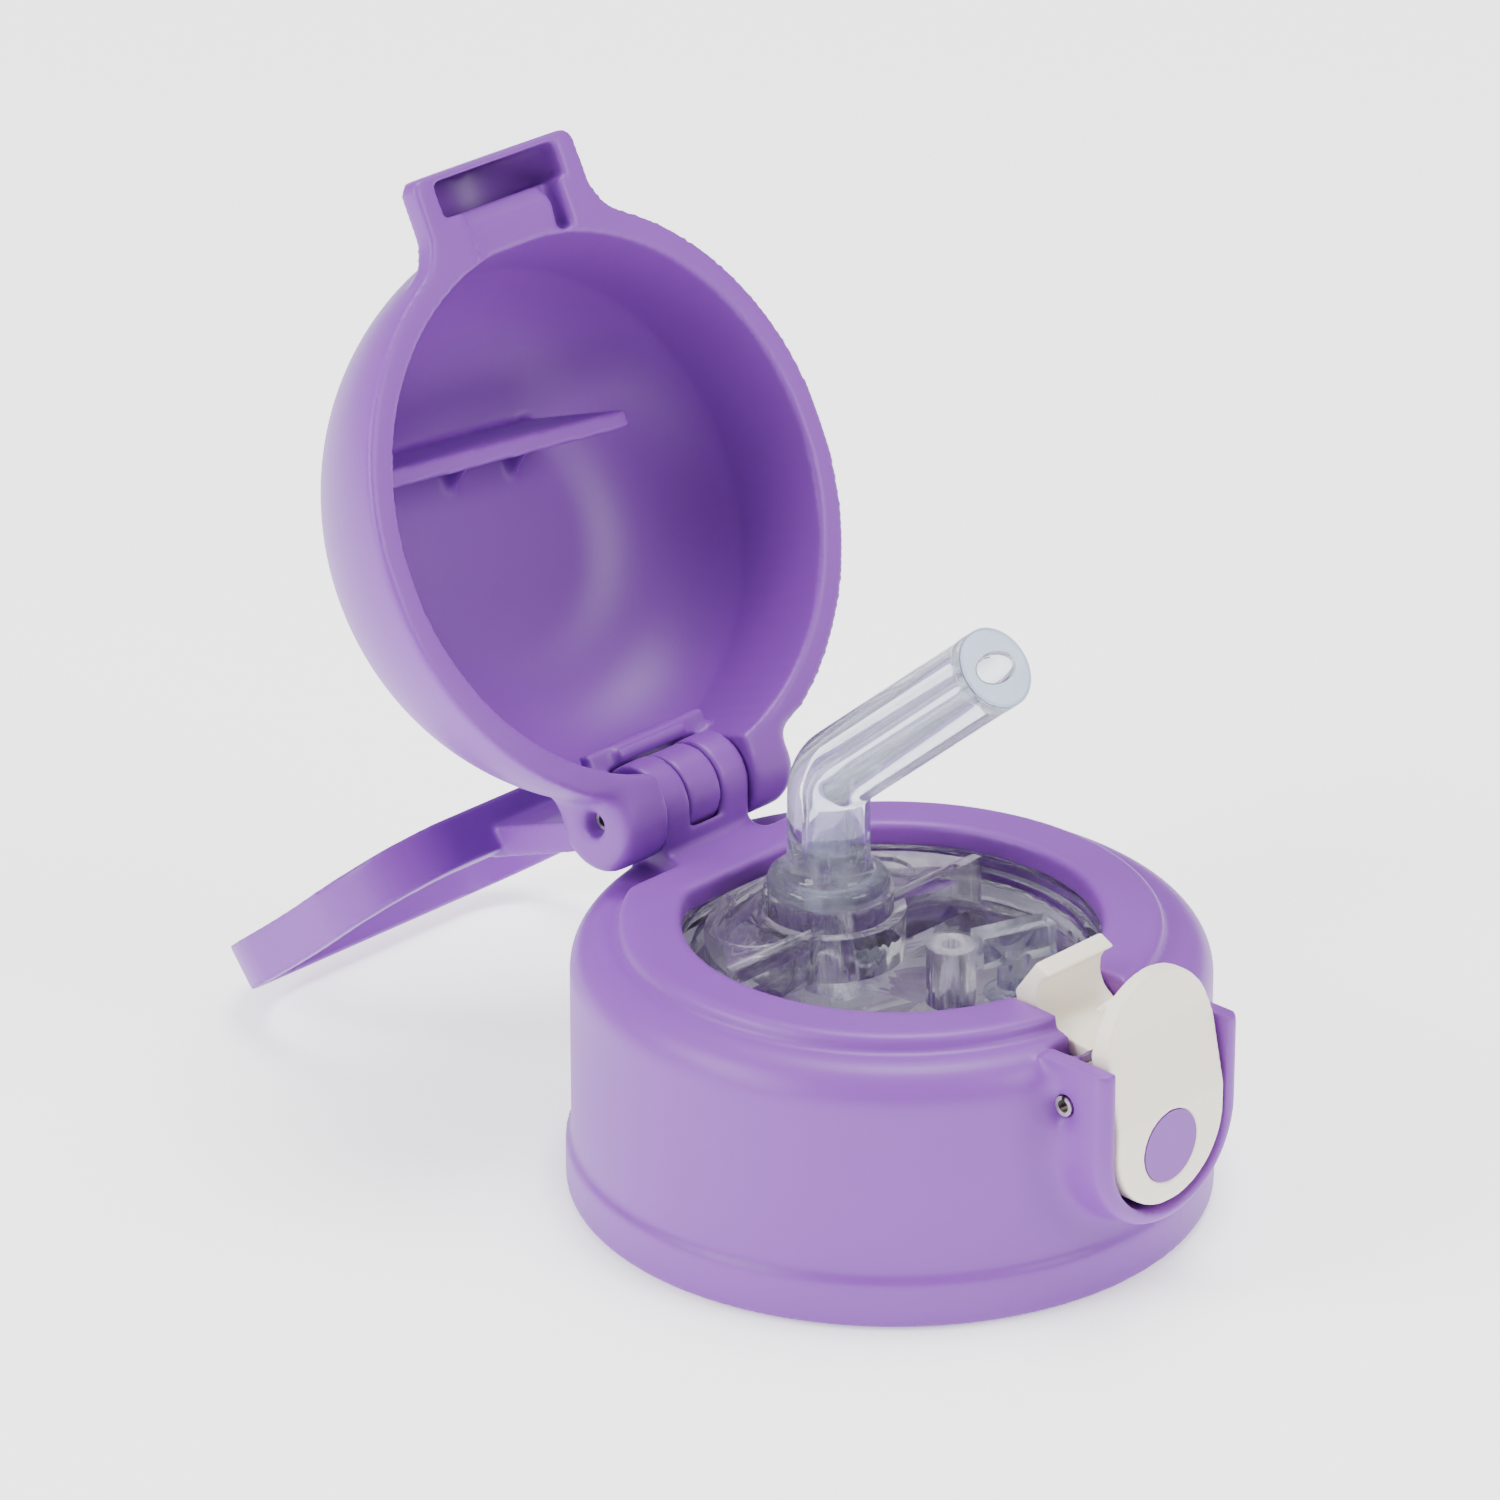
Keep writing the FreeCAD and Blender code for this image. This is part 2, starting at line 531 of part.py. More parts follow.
def make_drinking_unit():
    under = n.floor_top - n.floor_wall
    inner = n.drum_radius - n.drum_wall
    flange_top = n.flange_foot + n.flange_wall
    groove_in = n.drum_radius - n.groove_depth
    drum = turned("drum", [
        (0, under), (inner, under), (inner, n.flange_foot), (n.flange_radius, n.flange_foot),
        (n.flange_radius, flange_top), (n.drum_radius, flange_top), (n.drum_radius, n.groove_up),
        (groove_in, n.groove_up), (groove_in, n.groove_up + n.groove_width),
        (n.drum_radius, n.groove_up + n.groove_width), (n.drum_radius, n.drum_top), (inner, n.drum_top),
        (inner, n.ledge_top), (n.ledge_radius, n.ledge_top), (n.ledge_radius, n.floor_top), (0, n.floor_top),
    ])
    platform = fuse(
        "platform", half_disc("platform_half", n.platform_radius, n.platform_edge, under, n.platform_top),
        cylinder("platform_bulge", n.bulge_radius, (0, n.tube_back, under), n.platform_top - under),
        half_disc("edge_rib", n.platform_radius, n.platform_edge, n.platform_top, n.platform_top + n.edge_rib_height),
    )
    chord_clear = box("chord_clear", (-REACH, n.opening_chord - n.drum_gap, n.deck_roof - n.drum_gap),
                      (REACH, REACH, REACH))
    rib_clear = half_disc(
        "edge_rib_clear", REACH / 2, n.platform_edge + n.edge_rib_width, n.platform_top, REACH
    )
    hollow_top = n.platform_top - n.shell_wall
    hollow = half_disc(
        "platform_hollow", n.platform_radius - n.shell_wall, n.platform_edge + n.shell_wall,
        under - n.fuse_depth, hollow_top,
    )
    socket = cylinder("socket", n.socket_radius, (0, n.tube_back, under), n.socket_top - under)
    nipple = cylinder("nipple", n.nipple_radius, (0, n.tube_back, n.nipple_foot), under - n.nipple_foot)
    spigot = cylinder("spigot", n.tube_bore + n.spigot_wall, (0, n.tube_back, n.socket_top), n.spigot_height)
    duct = cylinder("duct", n.duct_radius, (0, n.tube_back, 0), REACH)
    post = cylinder("post", n.post_radius, (0, -n.post_front, under), n.post_top - under)
    post_bore = cylinder("post_bore", n.post_bore, (0, -n.post_front, under), REACH)
    stem_hole = cylinder("stem_hole", n.stem_radius + n.running_gap, (n.valve_x, -n.valve_front, under), REACH)
    shell = cut("platform_open", platform, rib_clear, chord_clear, make_recess())
    body = cut("platform_shell", fuse("drum_solid", drum, shell), hollow)
    solid = fuse("unit_solid", body, socket, nipple, spigot, post)
    return cut("drinking_unit", solid, duct, post_bore, stem_hole)


def make_recess():
    """The shallow panel in the platform's top, with round corners, all but the socket's surround."""
    radius = n.platform_radius - n.recess_inset
    edge = n.platform_edge + n.edge_rib_width + n.recess_inset
    low = n.platform_top - n.recess_depth
    panel = half_disc("recess_panel", radius, edge, low, n.platform_top + n.recess_depth)
    corner = math.sqrt(radius.value ** 2 - edge.value ** 2)
    panel = round_edges(
        "recess_round", panel, n.recess_corner, lambda e: is_upright(e, abs_sign(e, corner), edge.value)
    )
    surround = cylinder("recess_surround", n.bulge_radius, (0, n.tube_back, low), REACH)
    return cut("recess", panel, surround)


def half_disc(name, radius, edge, low, high):
    """The part of a disc that lies behind a straight edge."""
    disc = cylinder(name + "_disc", radius, (0, 0, low), as_size(high) - low)
    side = box(name + "_side", (-REACH, edge, low), (REACH, REACH, high))
    return common(name, disc, side)


def make_mouthpiece():
    """A soft tube: upright, bent forward in one arc, and straight to its end."""
    tangent_length = n.tube_bend * tangent(n.tube_lean / 2)
    bend_low = n.tube_corner - tangent_length
    outer = bent_tube("tube", n.tube_radius, tangent_length, bend_low, n.socket_top)
    bore = bent_tube("tube_bore", n.tube_bore, tangent_length, bend_low, n.socket_top)
    foot = cylinder("tube_foot", n.foot_radius, (0, n.tube_back, n.socket_top), n.foot_height)
    spigot_room = cylinder("spigot_room", n.tube_bore + n.spigot_wall, (0, n.tube_back, n.socket_top), n.spigot_height)
    return cut("straw_mouthpiece", fuse("mouthpiece_solid", outer, foot), bore, spigot_room)


def bent_tube(name, radius, tangent_length, bend_low, low):
    rise = cylinder(name + "_rise", radius, (0, n.tube_back, low), bend_low - low)
    bend = doc.addObject("Part::Torus", name + "_bend")
    bind(bend, "Radius1", n.tube_bend)
    bind(bend, "Radius2", radius)
    bind(bend, "Angle3", n.tube_lean)
    place(bend, (0, n.tube_back - n.tube_bend, bend_low),
          FreeCAD.Rotation(FreeCAD.Vector(0, 1, 0), FreeCAD.Vector(0, 0, 1), FreeCAD.Vector(1, 0, 0), "XYZ"))
    lean_rotation = FreeCAD.Rotation(FreeCAD.Vector(1, 0, 0), n.tube_lean.value)
    start = (0, n.tube_back - sine(n.tube_lean) * tangent_length, n.tube_corner + cosine(n.tube_lean) * tangent_length)
    lean = cylinder(name + "_lean", radius, start, n.tube_length - tangent_length, lean_rotation)
    return fuse(name, rise, bend, lean)


def make_air_valve():
    """A soft bar on a stem that stands in a hole of the clear floor, with a disc below."""
    bar = doc.addObject("Part::Box", "valve_bar")
    bind(bar, "Length", n.valve_length)
    bind(bar, "Width", n.valve_width)
    bind(bar, "Height", n.valve_height)
    turn = FreeCAD.Rotation(FreeCAD.Vector(0, 0, 1), n.valve_turn.value)
    half_l = n.valve_length / 2
    half_w = n.valve_width / 2
    c = cosine(n.valve_turn)
    s = sine(n.valve_turn)
    corner = (n.valve_x - half_l * c + half_w * s, -n.valve_front - half_l * s - half_w * c, n.valve_foot)
    place(bar, corner, turn)
    under = n.floor_top - n.floor_wall
    stem = cylinder("valve_stem", n.stem_radius, (n.valve_x, -n.valve_front, under), n.valve_foot + n.fuse_depth - under)
    disc = cylinder("valve_disc_low", n.valve_disc, (n.valve_x, -n.valve_front, under - n.valve_disc_wall),
                    n.valve_disc_wall)
    return fuse("air_valve", bar, stem, disc)


def make_neck_seal():
    """A flat soft ring under the clear flange, with a lip round its inner edge."""
    foot = n.flange_foot - n.seal_height
    return turned("neck_seal", [
        (n.seal_inner, foot - n.seal_lip), (n.seal_inner + n.seal_lip, foot - n.seal_lip),
        (n.seal_inner + n.seal_lip, foot), (n.seal_outer, foot), (n.seal_outer, n.flange_foot),
        (n.seal_inner, n.flange_foot),
    ])


def make_unit_seal():
    """A soft round ring in the drum's groove."""
    ring = doc.addObject("Part::Torus", "unit_seal")
    minor = n.groove_width / 2 - n.seal_squeeze
    bind(ring, "Radius2", minor)
    bind(ring, "Radius1", n.drum_radius - n.groove_depth + minor)
    return place(ring, (0, 0, n.groove_up + n.groove_width / 2))


def roll_pin(name, radius, half, back, up):
    """A rolled steel pin: a tube with a lengthwise slit."""
    solid = bar_x(name + "_solid", radius, -half, half, back, up)
    bore = bar_x(name + "_bore", radius - n.pin_wall, -REACH, REACH, back, up)
    slit = box(name + "_slit", (-REACH, back - n.pin_wall / 2, up), (REACH, back + n.pin_wall / 2, up + radius + 1))
    return cut(name, solid, bore, slit)


def make_latch():
    """The rocker: a slot-shaped plate with a tooth, and an arm with a fin, on one pivot."""
    plate = common("plate", stadium(
        "plate_face", n.plate_half, stadium_low, stadium_high, -REACH / 2, -n.tooth_space
    ), plate_side())
    tooth = common("tooth", stadium(
        "tooth_face", n.plate_half, stadium_low, stadium_high, -REACH / 2, -n.latch_back + n.pivot_radius
    ), slab_yz("tooth_side", -n.tooth_half, n.tooth_half, [
        (-n.tooth_tip, n.tooth_under + n.tooth_edge), (-n.plate_top_front - n.tooth_edge, n.plate_crest),
        (-n.plate_top_front - n.tooth_edge, n.tooth_under), (-n.tooth_tip - n.tooth_edge, n.tooth_under),
    ]))
    arm_over = n.channel_floor - n.knuckle_gap
    arm = slab_yz("arm_side", -n.arm_half, n.arm_half, [
        (-n.arm_inner, n.fin_low), (-n.fin_top_back, n.fin_top),
        (-n.fin_top_back - n.fin_lip, n.fin_top - n.fin_lip_drop),
        *fin_hollow(),
        (-n.plate_front + n.plate_wall + n.arm_wall / 2, n.channel_floor - n.arm_wall / 2),
        (-n.plate_front + n.plate_wall / 2, n.latch_up - n.pivot_radius),
        (-n.latch_back, n.latch_up - n.pivot_radius), (-n.latch_back, n.latch_up),
        (-n.latch_back + n.pivot_radius, n.latch_up), (-n.latch_back + n.pivot_radius, n.arm_under),
        (-n.channel_inner + n.arm_wall / 2, n.arm_under), (-n.channel_inner + n.arm_wall, arm_over),
        (-n.arm_inner - n.arm_wall / 2, arm_over),
    ])
    pivot = bar_x("pivot", n.pivot_radius, -n.arm_half, n.arm_half, -n.latch_back, n.latch_up)
    solid = fuse("latch_solid", plate, tooth, arm, pivot)
    hole = bar_x("pivot_hole", n.latch_pin_radius + n.running_gap, -REACH, REACH, -n.latch_back, n.latch_up)
    recess = bar_y("dot_recess", n.dot_radius + n.press_gap, 0, -n.plate_front - n.dot_depth,
                   -n.plate_front + n.dot_depth, n.dot_up)
    return cut("release_latch", solid, hole, recess)


def fin_hollow():
    """Points down the hollow front of the fin, from its lip to the channel's floor."""
    back = n.channel_inner + n.fin_hollow_step
    up = n.channel_floor + n.fin_hollow
    turns = [math.radians(turn) for turn in FIN_HOLLOW_TURNS]
    return [(-back + n.fin_hollow * math.sin(turn), up - n.fin_hollow * math.cos(turn)) for turn in turns]


def plate_side():
    """The plate's outline from the side: upright below, leaning in above its bend."""
    return slab_yz("plate_side", -n.plate_half - n.plate_wall, n.plate_half + n.plate_wall, [
        (-n.plate_front, n.plate_foot - n.plate_wall), (-n.plate_front + n.plate_wall, n.plate_foot - n.plate_wall),
        (-n.plate_front + n.plate_wall, n.plate_bend + n.bend_in),
        (-n.plate_top_front + n.plate_top_wall, n.lid_rim),
        (-n.plate_top_front + n.plate_top_wall, n.plate_crest + n.plate_wall),
        (-n.plate_top_front, n.plate_crest + n.plate_wall),
        (-n.plate_front + n.bend_lean, n.plate_bend + n.bend_rise), (-n.plate_front, n.plate_bend),
    ])


def make_dot():
    return bar_y("button_inlay", n.dot_radius, 0, -n.plate_front, -n.plate_front + n.dot_depth, n.dot_up)


def make_latch_spring():
    """A coil round the latch pin with one leg down the plate and one down the pocket's wall."""
    start = slot_half + n.spring_wire + n.slot_gap
    coil = doc.addObject("Part::Helix", "spring_path")
    bind(coil, "Radius", n.spring_radius)
    bind(coil, "Pitch", n.spring_pitch)
    bind(coil, "Height", n.spring_pitch * n.spring_turns)
    wire = doc.addObject("Part::Circle", "spring_section")
    bind(wire, "Radius", n.spring_wire)
    place(wire, (n.spring_radius, 0, 0), FreeCAD.Rotation(FreeCAD.Vector(1, 0, 0), 90))
    sweep = doc.addObject("Part::Sweep", "spring_coil")
    sweep.Sections = [wire]
    sweep.Spine = (coil, [])
    sweep.Solid = True
    sweep.Frenet = True
    turn = FreeCAD.Rotation(FreeCAD.Vector(0, 0, 1), FreeCAD.Vector(0, -1, 0), FreeCAD.Vector(1, 0, 0), "XYZ")
    front = cylinder("spring_front_leg", n.spring_wire, (0, 0, 0), n.spring_leg)
    back = cylinder("spring_back_leg", n.spring_wire, (0, 0, 0), n.spring_leg / 2)
    down = FreeCAD.Rotation(FreeCAD.Vector(1, 0, 0), 180)
    place(sweep, (start, -n.latch_back, n.latch_up), turn)
    place(front, (start, -n.latch_back - n.spring_radius, n.latch_up), down)
    place(back, (start + n.spring_pitch * n.spring_turns, -n.latch_back - n.spring_radius, n.latch_up), down)
    return fuse("latch_spring", sweep, front, back)


def arc_sketch(name, lines_and_arcs):
    """A body with an empty sketch in the XZ plane, filled with given lines and arcs."""
    body = doc.addObject("PartDesign::Body", name)
    sketch = body.newObject("Sketcher::SketchObject", name + "_outline")
    sketch.AttachmentSupport = [(origin_plane(body, "XZ_Plane"), "")]
    sketch.MapMode = "FlatFace"
    for piece in lines_and_arcs:
        sketch.addGeometry(piece)
    return body, sketch


def line(u1, v1, u2, v2):
    return Part.LineSegment(FreeCAD.Vector(u1, v1, 0), FreeCAD.Vector(u2, v2, 0))


def arc(u, v, radius, start, end):
    """An arc about a centre, from one angle to another."""
    circle = Part.Circle(FreeCAD.Vector(u, v, 0), FreeCAD.Vector(0, 0, 1), radius)
    return Part.ArcOfCircle(circle, start, end)


def hold(sketch, *words):
    """Add a constraint. A size as the last word is bound to the sheet."""
    size = words[-1]
    if not isinstance(size, Size):
        sketch.addConstraint(Sketcher.Constraint(*words))
        return
    index = sketch.addConstraint(Sketcher.Constraint(*words[:-1], size.value))
    sketch.setExpression("Constraints[" + str(index) + "]", size.text)


def turn_about_z(body, sketch):
    feature = body.newObject("PartDesign::Revolution", body.Name + "_turn")
    feature.Profile = sketch
    feature.ReferenceAxis = (sketch, ["V_Axis"])
    feature.Angle = 360
    return body


def make_dome():
    """The dome without its cavity: a side arc that leaves the rim upright, and a top arc."""
    side = n.lid_radius.value - n.lid_side_round.value
    height = n.lid_height.value
    top_round = (side ** 2 + height ** 2 - n.lid_side_round.value ** 2) / (2 * (height - n.lid_side_round.value))
    rim = n.lid_rim.value
    low = rim + height - top_round
    tilt = math.atan2(rim - low, side)
    body, sketch = arc_sketch("dome", [
        line(0, rim, n.lid_radius.value, rim), arc(side, rim, n.lid_side_round.value, 0, tilt),
        arc(0, low, top_round, tilt, math.pi / 2), line(0, rim + height, 0, rim),
    ])
    hold(sketch, "Coincident", 0, 2, 1, 1)
    hold(sketch, "Tangent", 1, 2, 2, 1)
    hold(sketch, "Coincident", 2, 2, 3, 1)
    hold(sketch, "Coincident", 3, 2, 0, 1)
    hold(sketch, "Horizontal", 0)
    hold(sketch, "Vertical", 3)
    hold(sketch, "PointOnObject", 2, 3, -2)
    hold(sketch, "DistanceX", -1, 1, 0, 1, as_size(0))
    hold(sketch, "DistanceY", -1, 1, 0, 1, n.lid_rim)
    hold(sketch, "DistanceX", -1, 1, 0, 2, n.lid_radius)
    hold(sketch, "DistanceX", -1, 1, 1, 3, n.lid_radius - n.lid_side_round)
    hold(sketch, "DistanceY", -1, 1, 1, 3, n.lid_rim)
    hold(sketch, "DistanceY", -1, 1, 2, 2, n.lid_rim + n.lid_height)
    return turn_about_z(body, sketch)


def make_cavity():
    """The inside of the dome: a wall with some draft, a wide round corner and a flat ceiling."""
    radius = n.cavity_radius.value
    upper = radius - n.cavity_draft.value
    wall_top = n.lid_rim.value + n.cavity_wall_height.value
    ceiling = n.lid_rim.value + n.cavity_depth.value
    low = ceiling - n.cavity_round.value
    flat = upper - math.sqrt(n.cavity_round.value ** 2 - (wall_top - low) ** 2)
    begin = math.atan2(wall_top - low, upper - flat)
    mouth = n.lid_rim.value - n.fuse_depth.value
    body, sketch = arc_sketch("cavity", [
        line(0, mouth, radius, mouth), line(radius, mouth, upper, wall_top),
        arc(flat, low, n.cavity_round.value, begin, math.pi / 2), line(flat, ceiling, 0, ceiling),
        line(0, ceiling, 0, mouth),
    ])
    hold(sketch, "Coincident", 0, 2, 1, 1)
    hold(sketch, "Coincident", 1, 2, 2, 1)
    hold(sketch, "Tangent", 2, 2, 3, 1)
    hold(sketch, "Coincident", 3, 2, 4, 1)
    hold(sketch, "Coincident", 4, 2, 0, 1)
    hold(sketch, "Horizontal", 0)
    hold(sketch, "Horizontal", 3)
    hold(sketch, "Vertical", 4)
    hold(sketch, "DistanceX", -1, 1, 0, 1, as_size(0))
    hold(sketch, "DistanceY", -1, 1, 0, 1, n.lid_rim - n.fuse_depth)
    hold(sketch, "DistanceX", -1, 1, 0, 2, n.cavity_radius)
    hold(sketch, "DistanceX", -1, 1, 1, 2, n.cavity_radius - n.cavity_draft)
    hold(sketch, "DistanceY", -1, 1, 1, 2, n.lid_rim + n.cavity_wall_height)
    hold(sketch, "DistanceY", -1, 1, 3, 2, n.lid_rim + n.cavity_depth)
    hold(sketch, "Radius", 2, n.cavity_round)
    return turn_about_z(body, sketch)


def make_lid_ears():
    """Two ears that run from the rim to the hinge, outside the collar's ears."""
    barrel = bar_x("lid_barrel", n.lid_ear_radius, lid_ear_inner, n.lid_ear_half, n.hinge_back, n.hinge_up)
    low = box("lid_ear_low", (lid_ear_inner, n.frame_front, n.lid_rim),
              (n.lid_ear_half, n.hinge_back, n.hinge_up + n.lid_ear_radius))
    ear = fuse("lid_ear_plain", barrel, low)
    ear = round_edges("lid_ear", ear, n.ear_round, is_outer_ear_edge)
    return [ear, mirror_x("lid_ear_left", ear)]


def is_outer_ear_edge(edge):
    """True for the edges of the ear's outer face, apart from the one inside the dome."""
    b = edge.BoundBox
    on_face = abs(b.XMin - n.lid_ear_half.value) + abs(b.XMax - n.lid_ear_half.value) < 0.02
    return on_face and b.YMax > n.frame_front.value + 0.1


def make_hood():
    """The bridge over the latch: low flanks that blend into the dome, a front wall and an arched roof."""
    top = n.lid_rim + n.hood_height
    front = box("hood_front_block", (-n.hood_half, -n.hood_front, n.lid_rim), (n.hood_half, -n.hood_back, top))
    front = round_edges(
        "hood_front_round", front, n.hood_corner,
        lambda e: is_upright(e, abs_sign(e, n.hood_half.value), -n.hood_front.value),
    )
    wide = cut("hood_blend_open", hood_root(top), hood_side_room("right", 1), hood_side_room("left", -1))
    arch = bar_y("hood_arch", arch_radius() + n.arch_wall, 0, -n.hood_front, -n.hood_back, stadium_high)
    above = box("hood_above", (-REACH, -REACH, n.lid_rim), (REACH, 0, REACH))
    return fuse("hood", front, wide, common("hood_roof", arch, above))


def hood_blend_back():
    """How far in front of the axis the blend's circle lies, so that it touches the dome and the hood's side."""
    reach = n.lid_radius + n.hood_blend
    side = n.hood_half + n.hood_blend
    square = reach * reach - side * side
    return Size(math.sqrt(square.value), "sqrt(" + square.text + ")")


def hood_root(top):
    """A block that fills the corners between the hood and the dome."""
    half = (n.hood_half + n.hood_blend) * n.lid_radius / (n.lid_radius + n.hood_blend)
    return box("hood_root", (-half, -hood_blend_back(), n.lid_rim), (half, -n.hood_back, top))


def hood_side_room(side, sign):
    """The round space beside the hood."""
    centre = ((n.hood_half + n.hood_blend) * sign, -hood_blend_back(), n.lid_rim)
    return cylinder("hood_room_" + side, n.hood_blend, centre, n.hood_height)


def arch_radius():
    return n.plate_half + n.hood_side_gap + n.pocket_gap


def make_hood_room():
    """The space for the plate, and the deeper space for its tooth above the hook."""
    half = n.plate_half + n.hood_side_gap
    plate = common(
        "plate_room", bar_y("plate_room_arch", arch_radius(), 0, -n.hood_front + n.hood_wall, -n.hook_edge,
                            stadium_high),
        box("plate_room_width", (-half, -REACH, 0), (half, 0, REACH)),
    )
    tooth_half = n.tooth_half + n.hood_side_gap
    tooth = common(
        "tooth_room", bar_y("tooth_room_arch", arch_radius(), 0, -n.hood_front + n.hood_wall, -n.tooth_space,
                            stadium_high),
        box("tooth_room_width", (-tooth_half, -REACH, n.lid_rim + n.hook_height), (tooth_half, 0, REACH)),
    )
    return fuse("hood_room", plate, tooth)


def make_presser():
    """A leaning blade under the ceiling that holds the straw down, with two gussets behind it."""
    ceiling = n.lid_rim + n.cavity_depth + n.lid_wall / 2
    start = n.rib_wall - n.rib_front
    gussets = []
    for name, x in (("gusset_left", n.gusset_left), ("gusset_right", n.gusset_right)):
        back = start + x * sine(n.rib_turn)
        gussets.append(slab_yz(name + "_slab", x, x + n.gusset_wall, [
            (back - n.rib_wall, ceiling - n.gusset_height),
            (back - n.rib_wall + n.fuse_depth, ceiling - n.gusset_height),
            (back + n.gusset_depth - n.rib_lean, ceiling), (back - n.rib_lean - n.fuse_depth, ceiling),
        ]))
    return common("presser", fuse("presser_solid", make_blade(ceiling), *gussets), make_inside())


def make_inside():
    """The cavity and a part of the wall round it, which bounds the presser."""
    rise = n.cavity_wall_height - n.cavity_depth + n.cavity_round
    square = n.cavity_round * n.cavity_round - rise * rise
    flat = n.cavity_radius - n.cavity_draft - Size(math.sqrt(square.value), "sqrt(" + square.text + ")")
    low = n.lid_rim + n.cavity_depth - n.cavity_round
    reach = n.cavity_round + n.lid_wall / 4
    turns = [math.radians(turn) for turn in INSIDE_TURNS]
    corner = [(flat + reach * math.cos(turn), low + reach * math.sin(turn)) for turn in turns]
    return turned("dome_inside", [(0, n.lid_rim), (n.cavity_radius, n.lid_rim), *corner, (flat, low + reach),
                                  (0, low + reach)])


def make_blade(ceiling):
    """The presser's blade: it leans and turns a little, and its right end is cut at a slope."""
    blade = slab_yz("presser_blade", -n.rib_left, n.rib_right, [
        (-n.rib_front, n.rib_foot), (n.rib_wall - n.rib_front, n.rib_foot),
        (n.rib_wall - n.rib_front - n.rib_lean, ceiling), (-n.rib_front - n.rib_lean, ceiling),
    ])
    turn = FreeCAD.Rotation(FreeCAD.Vector(0, 0, 1), n.rib_turn.value)
    place(blade, (-n.rib_left, -n.rib_left * sine(n.rib_turn), 0), turn)
    end = slab_xz("presser_end", -n.rib_front - n.rib_end, n.rib_end - n.rib_front, [
        (n.rib_right, n.rib_foot), (n.rib_right + n.rib_end, n.rib_foot),
        (n.rib_right + n.rib_end, ceiling + n.rib_end), (n.rib_right - n.rib_slope, ceiling + n.rib_end),
    ])
    return cut("presser_plate", blade, end)


def make_notch_frame():
    """The lip over the notch for the hinge, and a short bar under it."""
    lintel = box("lintel", (-n.frame_half, n.frame_front, n.notch_top),
                 (n.frame_half, n.cavity_radius, n.notch_top + n.frame_rise))
    bar = box("lintel_bar", (-n.bar_half, n.bar_front, n.notch_top - n.bar_drop),
              (n.bar_half, n.hinge_back, n.notch_top))
    return fuse("notch_frame", lintel, bar)


def make_hinge_room():
    """The notch for the collar's ears and the loop's knuckle."""
    round_room = bar_x("hinge_room_round", n.base_ear_radius + n.swing_gap, -lid_ear_inner, lid_ear_inner,
                       n.hinge_back, n.hinge_up)
    back = box("hinge_room_back", (-lid_ear_inner, n.hinge_back, 0),
               (lid_ear_inner, REACH, n.hinge_up + n.base_ear_radius + n.swing_gap))
    return fuse("hinge_room", round_room, back)


def make_lid():
    notch = box("rim_notch", (-lid_ear_inner, n.frame_front - n.lid_wall, 0), (lid_ear_inner, REACH, n.notch_top))
    notched = cut("lid_notched", fuse("lid_outer", make_dome(), *make_lid_ears(), make_hood()),
                  make_cavity(), notch, make_hook_room())
    filled = fuse("lid_filled", notched, make_presser(), make_notch_frame(), make_hook())
    pin_hole = bar_x("lid_pin_hole", n.hinge_pin_radius + n.running_gap, -REACH, REACH, n.hinge_back, n.hinge_up)
    mouth = bar_x("lid_pin_mouth", n.hinge_hole_radius, n.lid_ear_half - n.hinge_pin_recess - n.ear_gap, REACH,
                  n.hinge_back, n.hinge_up)
    closed = cut("lid", filled, make_hinge_room(), make_hood_room(), pin_hole, mouth,
                 mirror_x("lid_pin_mouth_left", mouth))
    return open_lid(closed)


def make_hook():
    """The ridge that the latch's tooth holds, inside the hood."""
    half = n.tooth_half + n.hood_side_gap
    back = n.cavity_radius - n.fuse_depth
    return slab_yz("hook", -half, half, [
        (-n.hook_edge, n.lid_rim + n.hook_height), (-n.hook_edge, n.lid_rim + n.hook_bevel),
        (-n.hook_edge + n.hook_bevel, n.lid_rim + n.hook_ridge), (-back, n.lid_rim + n.hook_slope),
        (-back, n.lid_rim + n.hook_height),
    ])


def make_hook_room():
    """The space around the hook: it lies deeper than the rim, with a groove at one end."""
    half = n.tooth_half + n.hood_side_gap
    front = -n.hook_edge - n.fuse_depth
    back = -n.cavity_radius + n.fuse_depth
    low = n.lid_rim - n.rim_gap
    room = box("hook_room_middle", (-half, front, low), (half, back, n.lid_rim + n.hook_height))
    groove = box("hook_groove_room", (half, front, low), (half + n.hook_groove, back, n.lid_rim + n.groove_height))
    return fuse("hook_room", room, groove)


def open_lid(closed):
    """Turn the closed lid open about the hinge."""
    hinge = FreeCAD.Vector(0, n.hinge_back.value, n.hinge_up.value)
    turn = FreeCAD.Rotation(FreeCAD.Vector(1, 0, 0), -n.open_angle.value)
    closed.Placement = FreeCAD.Placement(FreeCAD.Vector(), turn, hinge)
    return closed


